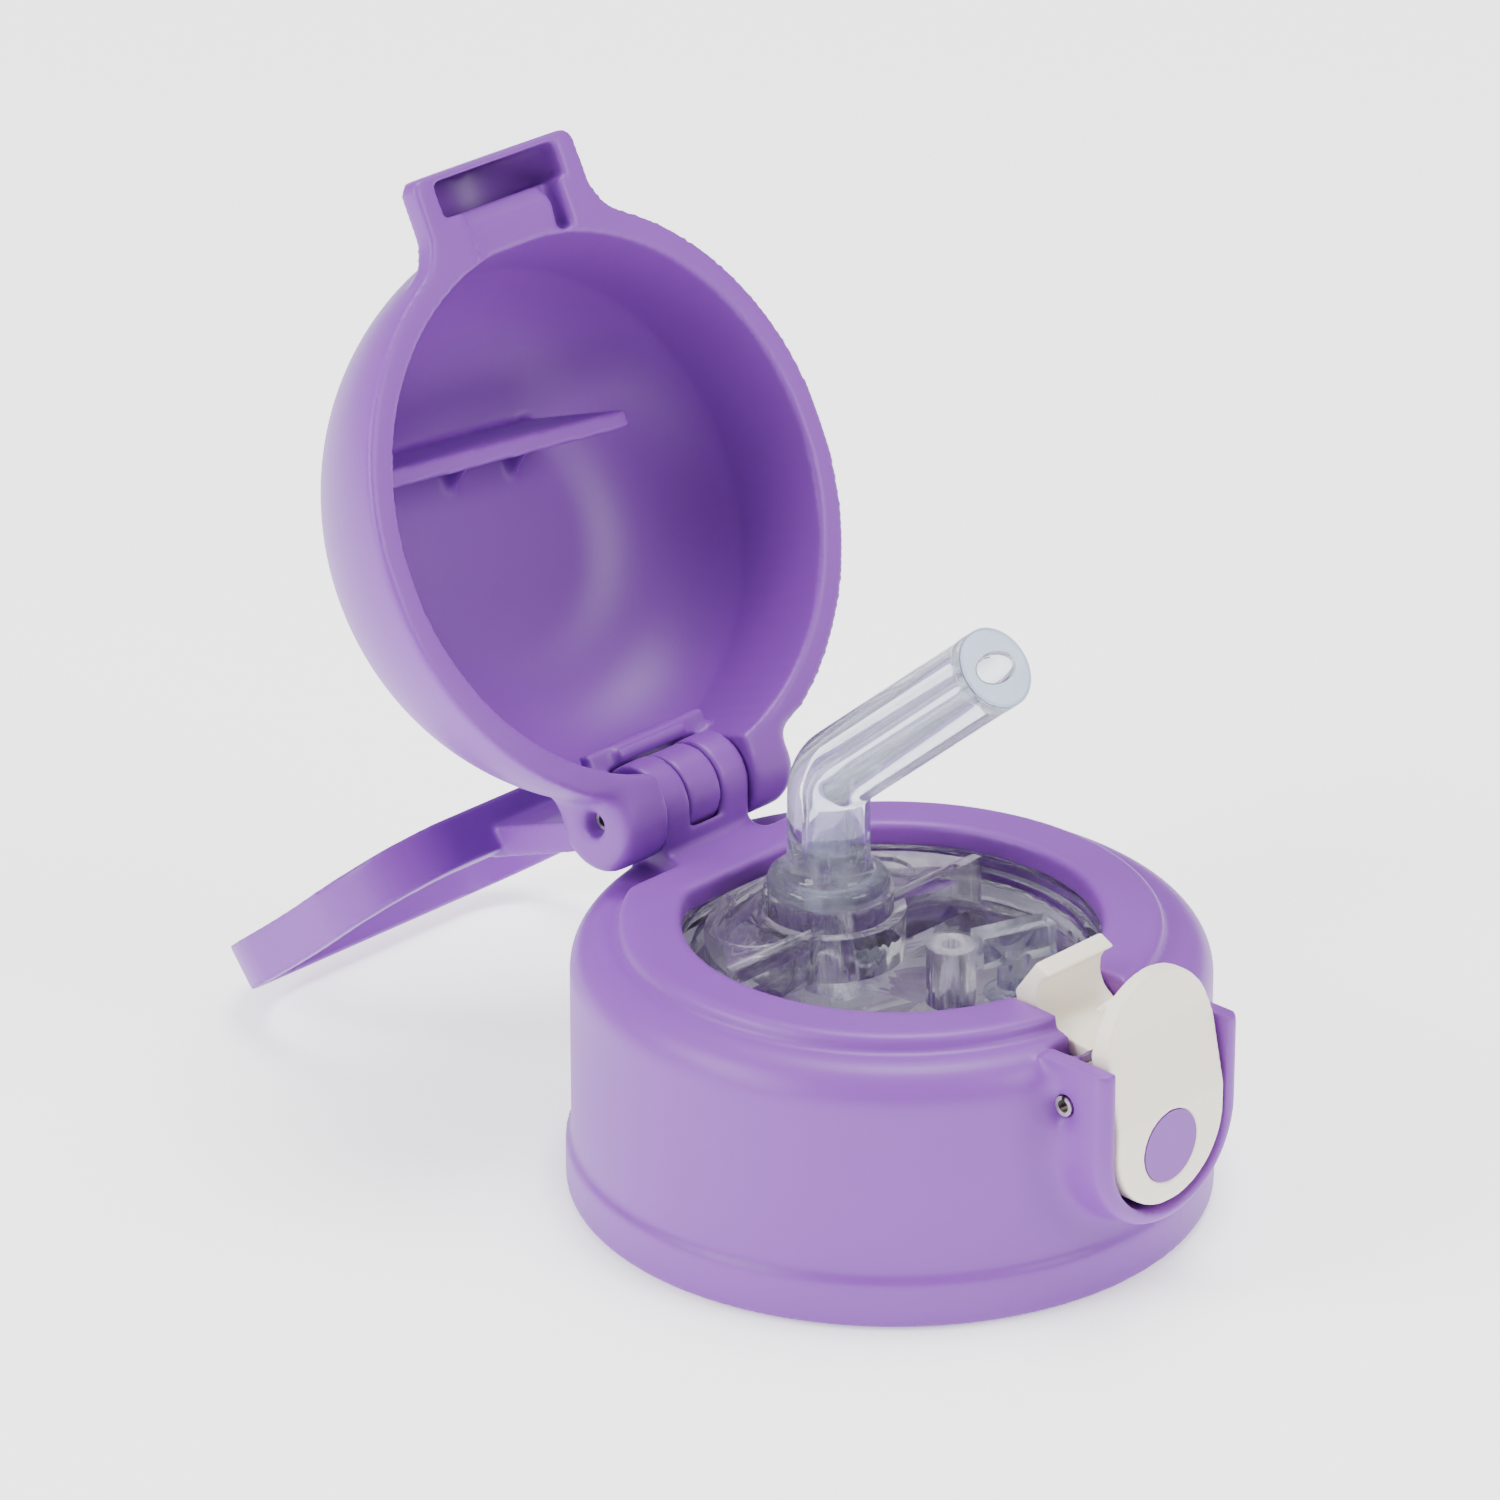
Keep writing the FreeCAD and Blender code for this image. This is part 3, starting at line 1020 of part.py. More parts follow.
def make_loop():
    """A bowed ring of strap that hangs from a knuckle on the hinge pin."""
    tilt = FreeCAD.Rotation(FreeCAD.Vector(1, 0, 0), -n.loop_tilt.value)
    outer = rounded_block("loop_outer", n.loop_half_width, n.loop_half_length, n.loop_corner)
    inner = rounded_block("loop_inner", n.loop_half_width - n.loop_wall, n.loop_half_length - n.loop_wall,
                          n.loop_corner - n.loop_wall)
    ring = cut("loop_ring", outer, inner)
    ring.Placement = FreeCAD.Placement(FreeCAD.Vector(0, n.loop_back.value, n.loop_up.value), tilt)
    half = n.loop_height / 2
    bow_y = n.loop_back + sine(n.loop_tilt) * n.loop_bow
    bow_z = n.loop_up + cosine(n.loop_tilt) * n.loop_bow
    shell = cut(
        "loop_bow_shell", bar_x("loop_bow_outer", n.loop_bow + half, -REACH, REACH, bow_y, bow_z),
        bar_x("loop_bow_inner", n.loop_bow - half, -REACH - 1, REACH + 1, bow_y, bow_z),
    )
    strap = common("loop_strap", ring, shell)
    knuckle = bar_x("knuckle", n.knuckle_radius, -n.knuckle_half, n.knuckle_half, n.hinge_back, n.hinge_up)
    solid = fuse("loop_solid", strap, knuckle, *make_neck())
    hole = bar_x("knuckle_hole", n.hinge_pin_radius + n.running_gap, -REACH, REACH, n.hinge_back, n.hinge_up)
    return cut("carry_loop", solid, hole)


def make_neck():
    """The arm from the knuckle to the strap: narrow between the ears, then wide."""
    half = n.neck_half_height
    base_y = n.loop_back - cosine(n.loop_tilt) * (n.loop_half_length - n.loop_wall / 2)
    base_z = n.loop_up + sine(n.loop_tilt) * (n.loop_half_length - n.loop_wall / 2) - n.neck_half_height / 2
    narrow = slab_yz("neck_narrow", -n.knuckle_half + n.knuckle_gap, n.knuckle_half - n.knuckle_gap, [
        (n.hinge_back, n.hinge_up - half), (n.neck_bend_back, n.neck_bend_up - half),
        (n.neck_bend_back, n.neck_bend_up + half), (n.hinge_back + n.neck_root, n.hinge_up - n.neck_root_drop),
    ])
    wide = slab_yz("neck_wide", -n.neck_wide_half, n.neck_wide_half, [
        (n.neck_bend_back - n.neck_lap, n.neck_bend_up - half + n.neck_step), (base_y, base_z - half),
        (base_y, base_z + half), (n.neck_bend_back - n.neck_lap, n.neck_bend_up + half + n.neck_step),
    ])
    return [narrow, wide]


def rounded_block(name, half_x, half_y, corner):
    """A tall block about the origin with round upright corners."""
    tall = REACH / 2
    long_x = box(name + "_x", (-half_x, -half_y + corner, -tall), (half_x, half_y - corner, tall))
    long_y = box(name + "_y", (-half_x + corner, -half_y, -tall), (half_x - corner, half_y, tall))
    posts = []
    for i, (sx, sy) in enumerate(((1, 1), (-1, 1), (-1, -1), (1, -1)), start=1):
        centre = ((half_x - corner) * sx, (half_y - corner) * sy, -tall)
        posts.append(cylinder(name + "_corner_" + str(i), corner, centre, 2 * tall))
    return fuse(name, long_x, long_y, *posts)


def make_parts():
    """Every separate piece, under the name of its file."""
    hinge_pin_half = n.lid_ear_half - n.hinge_pin_recess
    latch_pin_half = n.boss_half - n.latch_pin_recess
    return {
        "collar": make_collar(),
        "drinking_unit": make_drinking_unit(),
        "straw_mouthpiece": make_mouthpiece(),
        "air_valve": make_air_valve(),
        "neck_seal": make_neck_seal(),
        "unit_seal": make_unit_seal(),
        "hinge_pin": roll_pin("hinge_pin", n.hinge_pin_radius, hinge_pin_half, n.hinge_back, n.hinge_up),
        "latch_pin": roll_pin("latch_pin", n.latch_pin_radius, latch_pin_half, -n.latch_back, n.latch_up),
        "release_latch": make_latch(),
        "button_inlay": make_dot(),
        "latch_spring": make_latch_spring(),
        "lid": make_lid(),
        "carry_loop": make_loop(),
    }


def check_and_write(parts):
    """Stop on any failed object, and write one file for each piece."""
    doc.recompute()
    for obj in doc.Objects:
        if "Invalid" in obj.State or "Error" in obj.State:
            raise ValueError(obj.Name + " failed: " + str(obj.State))
    os.makedirs("parts", exist_ok=True)
    for name, obj in parts.items():
        obj.Label = name
        shape = obj.Shape
        if shape.isNull() or not shape.isValid():
            raise ValueError(name + " has no valid shape")
        print(name, len(shape.Solids), round(shape.Volume, 1))
        shape.exportStep("parts/" + name + ".step")


check_and_write(make_parts())
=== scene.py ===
import math

import bmesh
import bpy
import numpy as np
from mathutils import Matrix, Vector


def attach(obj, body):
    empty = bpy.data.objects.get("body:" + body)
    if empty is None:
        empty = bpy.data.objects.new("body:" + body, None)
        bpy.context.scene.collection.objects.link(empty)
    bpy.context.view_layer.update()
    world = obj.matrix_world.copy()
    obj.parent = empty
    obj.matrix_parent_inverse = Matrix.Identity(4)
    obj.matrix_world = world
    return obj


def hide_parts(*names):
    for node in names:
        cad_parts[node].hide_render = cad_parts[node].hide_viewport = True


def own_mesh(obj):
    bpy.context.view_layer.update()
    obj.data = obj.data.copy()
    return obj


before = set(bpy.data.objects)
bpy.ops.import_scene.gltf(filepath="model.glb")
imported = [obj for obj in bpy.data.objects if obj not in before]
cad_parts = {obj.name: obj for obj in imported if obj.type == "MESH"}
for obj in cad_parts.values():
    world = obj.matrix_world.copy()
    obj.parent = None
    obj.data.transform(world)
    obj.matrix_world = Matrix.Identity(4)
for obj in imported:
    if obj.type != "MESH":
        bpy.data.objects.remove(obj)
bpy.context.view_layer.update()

MM = 0.001

# The camera that took the photograph, solved from it: direction, distance, aim and focal length
CAMERA_BACK = Vector((-0.6543, -0.6281, 0.4212))
CAMERA_DISTANCE = 900 * MM
CAMERA_AIM = Vector((-1.91, 20.09, 47.0)) * MM
CAMERA_LENS = 192.6
SENSOR = 36.0
CLIP_START, CLIP_END = 0.01, 20

# The lights: place, aim and size in metres, and power in watts
LIGHTS = (
    ("key", (-1.1, 0.55, 0.85), (0, 0, 0.04), (0.5, 0.5), 14),
    ("low", (-1.1, 0.15, 0.4), (0, 0.03, 0.04), (0.4, 0.4), 6),
    ("front", (0.35, -1.15, 0.8), (0, 0, 0.03), (0.6, 0.6), 12),
    ("top", (0.25, 0.1, 1.4), (0, 0, 0.03), (0.6, 0.6), 20),
)

# The floor: half its width and its drop in metres, and its glow under the collar, dimmed there as a painted
# shadow, and away from it
FLOOR_HALF = 3
FLOOR_DROP = 0.2 * MM
FLOOR_COLOUR = (0.93, 0.93, 0.93, 1)
PAINTED_SHADOW_RADII, GLOW_AND_PAINTED_SHADOW = (34 * MM, 40 * MM), (0.4, 1.3)

# The studio: brightness from the horizon to the top, and the side towards which it dims
SKY_HEIGHTS, SKY_BRIGHTNESS = (-0.1, 0.9), (0.12, 0.85)
DIM_SIDE = (-0.75, -0.6, -0.1)
DIM_REACH, DIM_SHARE = (0.1, 0.8), (1.0, 0.3)

# Colours as linear red, green and blue
PURPLE = (0.208, 0.048, 0.38)
CREAM = (0.93, 0.86, 0.73)
CLEAR = (0.96, 0.95, 0.995)
SILICONE = (0.90, 0.94, 1.0)
CUT_SILICONE = (0.60, 0.71, 0.90)
SEAL_WHITE = (0.80, 0.81, 0.84)
STEEL = (0.62, 0.6, 0.58)

# How far light bends in the clear materials
PLASTIC_INDEX = 1.49
SILICONE_INDEX = 1.41

# The collar, its thread, its boss and the hinge, in millimetres, as in the part's source
BORE_RADIUS = 32.4
THREAD_FOOT = 3.4
THREAD_PITCH = 4.2
THREAD_TURNS = 1.4
THREAD_FADE = 0.07
THREAD_LEAST = 0.02
THREAD_STEPS = 180
THREAD_PROFILE = ((-0.3, -1.3), (0.1, -1.3), (1.0, -0.55), (1.0, 0.55), (0.1, 1.3), (-0.3, 1.3))
COLLAR_RADIUS = 36.0
BOSS_HALF = 11.3
BOSS_FOOT_CENTRE = 20.6
LID_RADIUS = 34.4
LID_EAR_HALF = 13.7
LID_RIM = 31.2
OPEN_ANGLE = 117.0
HINGE = Vector((0, 33.5, 37.2))

# The straw, in millimetres: its axis, its corner, its lean and its oval bore
STRAW_BACK = 9.7
STRAW_FOOT = 32.9
STRAW_CORNER = 46.6
STRAW_BEND = 5.2
STRAW_LEAN = math.radians(49.8)
STRAW_LENGTH = 32.4
STRAW_RADIUS = 4.7
BORE_WIDE = 2.85
BORE_HIGH = 1.7
BORE_MOUTH = 0.15
# Radius and height up the foot, then distance from the cut end and radius
STRAW_FOOT_PROFILE = (
    (6.95, 32.9), (6.95, 34.1), (6.7, 34.6), (6.2, 34.75), (5.5, 34.8), (5.1, 35.2), (4.85, 36.2),
)
STRAW_END_PROFILE = ((0.37, 4.62), (0.12, 4.4), (0.02, 4.1), (0.0, 3.3))
# Steps up the stem, round the corner and along the leaning end, the first step of the stem that
# stands clear of the foot, and the sides of a ring
STEM_STEPS, BEND_STEPS, END_STEPS = 8, 12, 14
FIRST_CLEAR_STEP = 3
STRAW_SIDES = 64

# Wide blends of the mouldings, in millimetres: their reach, and the heights and radius that bound them
BOSS_BLEND = 4.6
BOSS_BLEND_TOP = 29.5
EAR_BLEND = 4.0
EAR_BLEND_UP = 13
ROOF_BLEND = 4.0
ROOF_BLEND_RADIUS = 28
ROOF_UP = 21
# How far a point moves towards its neighbours in one pass, in a wide blend and everywhere
BLEND_WEIGHT = 0.6
EASE_WEIGHT = 0.5

# Rounds on the clear mouldings: points taken as one, faces taken as flat and edges taken as sharp
SAME_POINT = 0.001 * MM
FLAT_ANGLE = math.radians(1)
SHARP_ANGLE = math.radians(35)
ROUND_STEPS = 2


def new_material(name):
    """An empty node material with its output and one principled shader."""
    mat = bpy.data.materials.new(name)
    mat.use_nodes = True
    nodes = mat.node_tree.nodes
    nodes.clear()
    out = nodes.new("ShaderNodeOutputMaterial")
    shader = nodes.new("ShaderNodeBsdfPrincipled")
    mat.node_tree.links.new(shader.outputs["BSDF"], out.inputs["Surface"])
    return mat, nodes, mat.node_tree.links, shader


def noise(nodes, links, scale, detail):
    """A noise texture in the piece's own coordinates."""
    place = nodes.new("ShaderNodeTexCoord")
    texture = nodes.new("ShaderNodeTexNoise")
    texture.inputs["Scale"].default_value = scale
    texture.inputs["Detail"].default_value = detail
    links.new(place.outputs["Object"], texture.inputs["Vector"])
    return texture.outputs["Fac"]


def tint(nodes, links, factor, colour, dark, light):
    """A colour that varies a little with a factor."""
    ramp = nodes.new("ShaderNodeValToRGB")
    ramp.color_ramp.elements[0].position = 0.3
    ramp.color_ramp.elements[1].position = 0.7
    ramp.color_ramp.elements[0].color = [c * dark for c in colour] + [1]
    ramp.color_ramp.elements[1].color = [min(c * light, 1) for c in colour] + [1]
    links.new(factor, ramp.inputs["Fac"])
    return ramp.outputs["Color"]


def map_range(nodes, links, value, inside, outside):
    """A value carried from one range to another."""
    node = nodes.new("ShaderNodeMapRange")
    node.inputs["From Min"].default_value, node.inputs["From Max"].default_value = inside
    node.inputs["To Min"].default_value, node.inputs["To Max"].default_value = outside
    links.new(value, node.inputs["Value"])
    return node.outputs["Result"]


def relief(nodes, links, height, strength, depth):
    """A normal that follows a height."""
    bump = nodes.new("ShaderNodeBump")
    bump.inputs["Strength"].default_value = strength
    bump.inputs["Distance"].default_value = depth * MM
    links.new(height, bump.inputs["Height"])
    return bump.outputs["Normal"]


def mottled(nodes, links, shader, factor, colour, tones, gloss):
    """Colour and roughness that vary with a factor: the colour between two tones of itself, the
    roughness between two limits."""
    links.new(tint(nodes, links, factor, colour, *tones), shader.inputs["Base Color"])
    links.new(map_range(nodes, links, factor, (0, 1), gloss), shader.inputs["Roughness"])


def moulded_plastic(name, colour, roughness):
    """Satin moulded plastic: a slight mottle in colour and gloss, and a fine spark-eroded grain."""
    mat, nodes, links, shader = new_material(name)
    slow = noise(nodes, links, scale=45.0, detail=3.0)
    gloss = (roughness - 0.04, roughness + 0.04)
    mottled(nodes, links, shader, slow, colour, tones=(0.97, 1.03), gloss=gloss)
    fine = noise(nodes, links, scale=2600.0, detail=2.0)
    links.new(relief(nodes, links, fine, strength=0.3, depth=0.02), shader.inputs["Normal"])
    shader.inputs["Specular IOR Level"].default_value = 0.38
    shader.inputs["Subsurface Weight"].default_value = 0.12
    shader.inputs["Subsurface Radius"].default_value = (1.0, 0.8, 1.0)
    shader.inputs["Subsurface Scale"].default_value = 1.2 * MM
    return mat


def clear_plastic(name, colour, roughness, index, waves, seen_through, milk):
    """A clear moulding, with a slight unevenness that bends what is seen through it.
    A share of it lets light straight through, and a small share scatters it."""
    mat, nodes, links, shader = new_material(name)
    slow = noise(nodes, links, scale=130.0, detail=2.0)
    gloss = (roughness, roughness + 0.03)
    mottled(nodes, links, shader, slow, colour, tones=(0.98, 1.01), gloss=gloss)
    links.new(relief(nodes, links, slow, strength=0.6, depth=waves), shader.inputs["Normal"])
    shader.inputs["IOR"].default_value = index
    shader.inputs["Transmission Weight"].default_value = 1.0
    straight = nodes.new("ShaderNodeBsdfTransparent")
    straight.inputs["Color"].default_value = [c * 0.98 for c in colour] + [1]
    haze = nodes.new("ShaderNodeBsdfDiffuse")
    haze.inputs["Color"].default_value = list(colour) + [1]
    body = blend_over(nodes, links, shader.outputs["BSDF"], straight, seen_through)
    blend_over(nodes, links, body, haze, milk)
    return mat


def blend_over(nodes, links, below, above, share):
    """Mix a share of one more shader over a socket, and send the result to the surface."""
    mix = nodes.new("ShaderNodeMixShader")
    mix.inputs["Fac"].default_value = share
    links.new(below, mix.inputs[1])
    links.new(above.outputs[0], mix.inputs[2])
    out = [node for node in nodes if node.type == "OUTPUT_MATERIAL"][0]
    links.new(mix.outputs[0], out.inputs["Surface"])
    return mix.outputs[0]


def frosted(name, colour, share):
    """The cloudy skin of a cut end of silicone."""
    mat, nodes, links, shader = new_material(name)
    slow = noise(nodes, links, scale=400.0, detail=3.0)
    mottled(nodes, links, shader, slow, colour, tones=(0.95, 1.04), gloss=(0.4, 0.55))
    shader.inputs["IOR"].default_value = SILICONE_INDEX
    shader.inputs["Transmission Weight"].default_value = share
    return mat


def soft_solid(name, colour):
    """Opaque white silicone for the seals."""
    mat, nodes, links, shader = new_material(name)
    slow = noise(nodes, links, scale=300.0, detail=2.0)
    mottled(nodes, links, shader, slow, colour, tones=(0.96, 1.03), gloss=(0.5, 0.62))
    return mat


def drawn_steel(name, colour):
    """Bright steel with fine scratches."""
    mat, nodes, links, shader = new_material(name)
    fine = noise(nodes, links, scale=1500.0, detail=4.0)
    mottled(nodes, links, shader, fine, colour, tones=(0.75, 1.1), gloss=(0.22, 0.4))
    links.new(relief(nodes, links, fine, strength=0.5, depth=0.03), shader.inputs["Normal"])
    shader.inputs["Metallic"].default_value = 1.0
    return mat


def give(obj, *materials):
    """Put materials on an object, in the place of those it has."""
    obj.data.materials.clear()
    for material in materials:
        obj.data.materials.append(material)


def new_object(name, mesh):
    """A new object in the scene with this mesh, camera or lamp."""
    obj = bpy.data.objects.new(name, mesh)
    bpy.context.scene.collection.objects.link(obj)
    return obj


def points_of(mesh):
    """The mesh's points in millimetres, one in a row."""
    flat = np.zeros(len(mesh.vertices) * 3)
    mesh.vertices.foreach_get("co", flat)
    return flat.reshape(-1, 3) / MM


def edges_of(mesh):
    """The two point numbers of every edge."""
    flat = np.zeros(len(mesh.edges) * 2, np.int32)
    mesh.edges.foreach_get("vertices", flat)
    return flat.reshape(-1, 2)


def relax(points, edges, weight, passes):
    """Move every point towards the middle of its neighbours, by its own weight."""
    count = len(points)
    degree = np.bincount(edges.ravel(), minlength=count)
    share = (weight / np.maximum(degree, 1))[:, None]
    for _ in range(passes):
        total = np.empty_like(points)
        for axis in range(3):
            value = points[:, axis]
            total[:, axis] = np.bincount(edges[:, 0], value[edges[:, 1]], count)
            total[:, axis] += np.bincount(edges[:, 1], value[edges[:, 0]], count)
        points = points + share * (total - degree[:, None] * points)
    return points


def applied(obj):
    """The object's mesh with its modifiers, in the place of its own."""
    graph = bpy.context.evaluated_depsgraph_get()
    mesh = bpy.data.meshes.new_from_object(obj.evaluated_get(graph))
    obj.modifiers.clear()
    obj.data = mesh
    return obj


def softened(name, node, body, voxel, passes, blends=(), keep=1.0):
    """The CAD node's shape with eased edges, and with wider blends where blends gives weights."""
    obj = new_object(name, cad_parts[node].data.copy())
    remesh = obj.modifiers.new("even", "REMESH")
    remesh.mode = "VOXEL"
    remesh.voxel_size = voxel * MM
    applied(obj)
    points = points_of(obj.data)
    edges = edges_of(obj.data)
    for weigh, count in blends:
        points = relax(points, edges, BLEND_WEIGHT * weigh(points), count)
    points = relax(points, edges, np.full(len(points), EASE_WEIGHT), passes)
    obj.data.vertices.foreach_set("co", (points * MM).astype(np.float32).ravel())
    if keep < 1:
        obj.modifiers.new("fewer", "DECIMATE").ratio = keep
        applied(obj)
    obj.data.polygons.foreach_set("use_smooth", np.ones(len(obj.data.polygons), bool))
    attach(obj, body)
    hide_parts(node)
    return obj


def edged(name, node, body, width):
    """The CAD node's shape with small rounds on its sharp edges, for the clear mouldings."""
    obj = new_object(name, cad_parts[node].data.copy())
    bm = bmesh.new()
    bm.from_mesh(obj.data)
    bmesh.ops.remove_doubles(bm, verts=bm.verts, dist=SAME_POINT)
    bmesh.ops.dissolve_limit(bm, angle_limit=FLAT_ANGLE, verts=bm.verts, edges=bm.edges)
    for face in bm.faces:
        face.smooth = True
    bm.to_mesh(obj.data)
    bm.free()
    bevel = obj.modifiers.new("round", "BEVEL")
    bevel.width = width * MM
    bevel.segments = ROUND_STEPS
    bevel.limit_method = "ANGLE"
    bevel.angle_limit = SHARP_ANGLE
    bevel.harden_normals = True
    applied(obj)
    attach(obj, body)
    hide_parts(node)
    return obj


def near(distance, reach):
    """A weight that falls smoothly from 1 to 0 over a reach."""
    t = np.clip(1 - distance / reach, 0, 1)
    return t * t * (3 - 2 * t)


def boss_foot(points):
    """Weights along the line where the latch's boss grows out of the collar."""
    x, y, z = points.T
    wall = np.abs(np.hypot(x, y) - COLLAR_RADIUS)
    below = np.minimum(z - BOSS_FOOT_CENTRE, 0)
    side = np.abs(np.hypot(x, below) - BOSS_HALF)
    return near(np.hypot(wall, side), BOSS_BLEND) * (y < 0) * (z < BOSS_BLEND_TOP)


def closed(points):
    """The points with the open lid turned back to its closed place."""
    angle = math.radians(OPEN_ANGLE)
    y = points[:, 1] - HINGE.y
    z = points[:, 2] - HINGE.z
    turned_y = y * math.cos(angle) - z * math.sin(angle)
    turned_z = y * math.sin(angle) + z * math.cos(angle)
    return points[:, 0], turned_y + HINGE.y, turned_z + HINGE.z


def lid_ear_root(points):
    """Weights along the lines where the lid's ears grow out of the dome."""
    x, y, z = closed(points)
    corner = math.sqrt(LID_RADIUS ** 2 - LID_EAR_HALF ** 2)
    away = np.hypot(np.abs(x) - LID_EAR_HALF, y - corner)
    return near(away, EAR_BLEND) * (z < LID_RIM + EAR_BLEND_UP)


def lid_inside_corner(points):
    """Weights round the presser's root and the lintel, where the mould leaves wide radii."""
    x, y, z = closed(points)
    away = np.abs(z - LID_RIM - ROOF_UP)
    return near(away, ROOF_BLEND) * (np.hypot(x, y) < ROOF_BLEND_RADIUS)


def add_camera():
    """The camera of the photograph, level with the horizon."""
    data = bpy.data.cameras.new("camera")
    camera = new_object("camera", data)
    data.lens = CAMERA_LENS
    data.sensor_width = SENSOR
    data.sensor_fit = "HORIZONTAL"
    data.clip_start = CLIP_START
    data.clip_end = CLIP_END
    back = CAMERA_BACK.normalized()
    camera.location = CAMERA_AIM + back * CAMERA_DISTANCE
    right = Vector((0, 0, 1)).cross(back).normalized()
    up = back.cross(right)
    camera.rotation_euler = Matrix((right, up, back)).transposed().to_euler()
    bpy.context.scene.camera = camera


def add_floor():
    """A pale plain floor that glows, with a painted shadow where the collar stands over it."""
    mesh = bpy.data.meshes.new("floor")
    bm = bmesh.new()
    bmesh.ops.create_grid(bm, x_segments=1, y_segments=1, size=FLOOR_HALF)
    bm.to_mesh(mesh)
    bm.free()
    floor = new_object("floor", mesh)
    floor.location.z = -FLOOR_DROP
    mat, nodes, links, shader = new_material("floor_white")
    shader.inputs["Base Color"].default_value = FLOOR_COLOUR
    shader.inputs["Roughness"].default_value = 0.8
    shader.inputs["Emission Color"].default_value = (1, 1, 1, 1)
    place = nodes.new("ShaderNodeTexCoord")
    distance = nodes.new("ShaderNodeVectorMath")
    distance.operation = "LENGTH"
    links.new(place.outputs["Object"], distance.inputs[0])
    # The glow dims under the collar: a painted shadow beneath it
    glow_and_painted_shadow = map_range(nodes, links, distance.outputs["Value"], PAINTED_SHADOW_RADII, GLOW_AND_PAINTED_SHADOW)
    links.new(glow_and_painted_shadow, shader.inputs["Emission Strength"])
    give(floor, mat)


def add_lights():
    """The square lamps of the table, each turned to its aim."""
    for name, location, target, size, power in LIGHTS:
        data = bpy.data.lights.new(name, "AREA")
        data.shape = "RECTANGLE"
        data.size, data.size_y = size
        data.energy = power
        light = new_object(name, data)
        light.location = location
        aim = Vector(target) - Vector(location)
        light.rotation_euler = aim.to_track_quat("-Z", "Y").to_euler()


def add_world():
    """A soft studio: bright above, dimmer towards the horizon and towards one side."""
    world = bpy.data.worlds.new("studio")
    bpy.context.scene.world = world
    world.use_nodes = True
    nodes, links = world.node_tree.nodes, world.node_tree.links
    background = nodes["Background"]
    background.inputs["Color"].default_value = (1, 1, 1, 1)
    place = nodes.new("ShaderNodeTexCoord")
    split = nodes.new("ShaderNodeSeparateXYZ")
    links.new(place.outputs["Generated"], split.inputs["Vector"])
    toward = nodes.new("ShaderNodeVectorMath")
    toward.operation = "DOT_PRODUCT"
    toward.inputs[1].default_value = DIM_SIDE
    links.new(place.outputs["Generated"], toward.inputs[0])
    height = map_range(nodes, links, split.outputs["Z"], SKY_HEIGHTS, SKY_BRIGHTNESS)
    front = map_range(nodes, links, toward.outputs["Value"], DIM_REACH, DIM_SHARE)
    both = nodes.new("ShaderNodeMath")
    both.operation = "MULTIPLY"
    links.new(height, both.inputs[0])
    links.new(front, both.inputs[1])
    links.new(both.outputs["Value"], background.inputs["Strength"])


def straw_path():
    """Centres and directions along the straw, from its foot to its cut end."""
    reach = STRAW_BEND * math.tan(STRAW_LEAN / 2)
    low = STRAW_CORNER - reach
    path = []
    for i in range(STEM_STEPS + 1):
        path.append(((STRAW_BACK, STRAW_FOOT + (low - STRAW_FOOT) * i / STEM_STEPS), 0.0))
    for i in range(1, BEND_STEPS + 1):
        a = STRAW_LEAN * i / BEND_STEPS
        path.append(((STRAW_BACK - STRAW_BEND * (1 - math.cos(a)), low + STRAW_BEND * math.sin(a)), a))
    start = path[-1][0]
    run = STRAW_LENGTH - reach
    for i in range(1, END_STEPS + 1):
        d = run * i / END_STEPS
        path.append(((start[0] - math.sin(STRAW_LEAN) * d, start[1] + math.cos(STRAW_LEAN) * d), STRAW_LEAN))
    return path


def ring_of(bm, centre, lean, wide, high):
    """One closed ring of vertices across the straw."""
    across = Vector((0, math.cos(lean), math.sin(lean)))
    middle = Vector((0, centre[0], centre[1]))
    ring = []
    for i in range(STRAW_SIDES):
        a = 2 * math.pi * i / STRAW_SIDES
        spot = middle + Vector((wide * math.cos(a), 0, 0)) + across * (high * math.sin(a))
        ring.append(bm.verts.new(spot * MM))
    return ring


def skin(bm, low, high, material=0):
    """Faces between two rings."""
    count = len(low)
    for i in range(count):
        j = (i + 1) % count
        face = bm.faces.new([low[i], low[j], high[j], high[i]])
        face.smooth = True
        face.material_index = material


def make_straw(*materials):
    """The soft tube: a foot ring, an outer skin with a rounded end, and an oval bore."""
    bm = bmesh.new()
    path = straw_path()
    rings = [ring_of(bm, (STRAW_BACK, z), 0, r, r) for r, z in STRAW_FOOT_PROFILE]
    for centre, lean in path[FIRST_CLEAR_STEP:]:
        rings.append(ring_of(bm, centre, lean, STRAW_RADIUS, STRAW_RADIUS))
    end, lean = path[-1]
    ahead = (-math.sin(lean), math.cos(lean))
    cut_start = len(rings)
    for back, r in STRAW_END_PROFILE:
        centre = (end[0] - ahead[0] * back, end[1] - ahead[1] * back)
        rings.append(ring_of(bm, centre, lean, r, r))
    rings.append(ring_of(bm, end, lean, BORE_WIDE + BORE_MOUTH, BORE_HIGH + BORE_MOUTH))
    cut_stop = len(rings)
    for centre, lean in reversed(path):
        rings.append(ring_of(bm, centre, lean, BORE_WIDE, BORE_HIGH))
    for i in range(1, len(rings)):
        skin(bm, rings[i - 1], rings[i], 1 if cut_start <= i < cut_stop else 0)
    skin(bm, rings[-1], rings[0])
    bmesh.ops.recalc_face_normals(bm, faces=bm.faces)
    mesh = bpy.data.meshes.new("straw_tube")
    for material in materials:
        mesh.materials.append(material)
    bm.to_mesh(mesh)
    bm.free()
    obj = new_object("straw_tube", mesh)
    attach(obj, "base")
    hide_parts("straw_mouthpiece")
    return obj


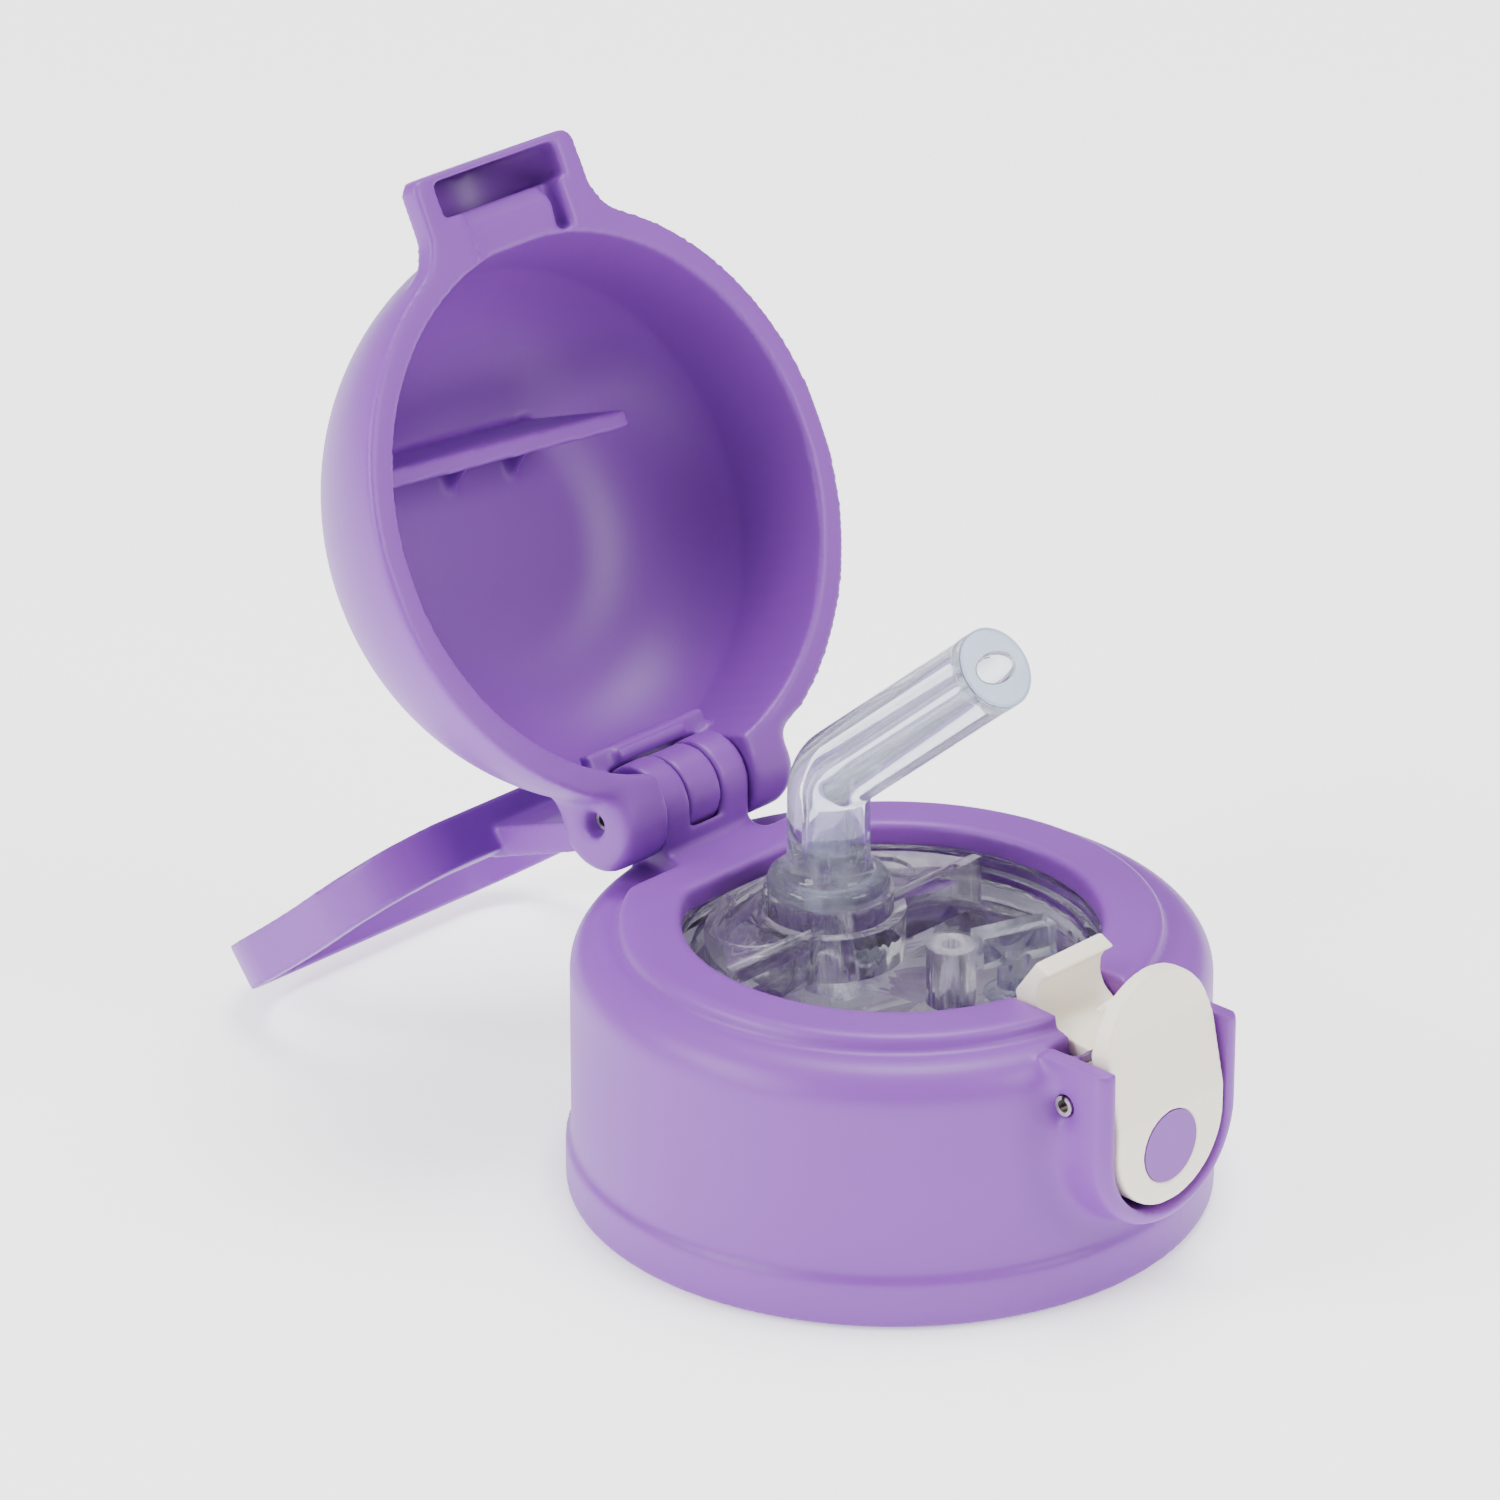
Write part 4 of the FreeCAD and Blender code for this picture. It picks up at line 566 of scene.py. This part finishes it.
def ridge_ring(bm, angle, up, share):
    """One section of the thread's ridge, with its foot sunk in the bore's wall."""
    section = []
    for depth, rise in THREAD_PROFILE:
        radius = BORE_RADIUS - (depth * share if depth > 0 else depth)
        spot = Vector((radius * math.cos(angle), radius * math.sin(angle), up + rise))
        section.append(bm.verts.new(spot * MM))
    return section


def make_thread():
    """The ridge that winds up inside the collar's bore and fades at both ends."""
    bm = bmesh.new()
    sections = []
    for i in range(THREAD_STEPS + 1):
        part = i / THREAD_STEPS
        turns = THREAD_TURNS * part
        share = max(min(1, part / THREAD_FADE, (1 - part) / THREAD_FADE), THREAD_LEAST)
        sections.append(ridge_ring(bm, 2 * math.pi * turns, THREAD_FOOT + THREAD_PITCH * turns, share))
    for low, high in zip(sections, sections[1:]):
        skin(bm, low, high)
    bm.faces.new(sections[0])
    bm.faces.new(sections[-1])
    bmesh.ops.recalc_face_normals(bm, faces=bm.faces)
    mesh = bpy.data.meshes.new("neck_thread")
    bm.to_mesh(mesh)
    bm.free()
    obj = new_object("neck_thread", mesh)
    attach(obj, "base")
    return obj


add_camera()
add_floor()
add_world()
add_lights()

purple = moulded_plastic("purple_satin_plastic", PURPLE, roughness=0.42)
cream = moulded_plastic("cream_satin_plastic", CREAM, roughness=0.45)
clear = clear_plastic("clear_hard_plastic", CLEAR, roughness=0.0, index=PLASTIC_INDEX,
                      waves=0.006, seen_through=0.2, milk=0.0)
silicone = clear_plastic("clear_silicone", SILICONE, roughness=0.01, index=SILICONE_INDEX,
                         waves=0.05, seen_through=0.18, milk=0.015)
cut_silicone = frosted("cut_silicone", CUT_SILICONE, share=0.15)
steel = drawn_steel("drawn_steel", STEEL)
white = soft_solid("white_silicone", SEAL_WHITE)

give(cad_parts["button_inlay"], purple)
give(edged("clear_unit", "drinking_unit", "base", width=0.3), clear)
give(edged("valve_bar", "air_valve", "base", width=0.45), silicone)
for node in ("hinge_pin", "latch_pin", "latch_spring"):
    give(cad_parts[node], steel)
for node in ("neck_seal", "unit_seal"):
    give(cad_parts[node], white)

give(softened("collar_body", "collar", "base", voxel=0.4, passes=4,
              blends=[(boss_foot, 70)], keep=0.5), purple)
give(softened("lid_dome", "lid", "lid", voxel=0.4, passes=3,
              blends=[(lid_ear_root, 40), (lid_inside_corner, 3)], keep=0.7), purple)
give(softened("loop_strap", "carry_loop", "carry_loop", voxel=0.3, passes=5), purple)
give(softened("latch_rocker", "release_latch", "latch", voxel=0.22, passes=5), cream)

give(make_thread(), purple)
straw = make_straw(silicone, cut_silicone)
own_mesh(straw)
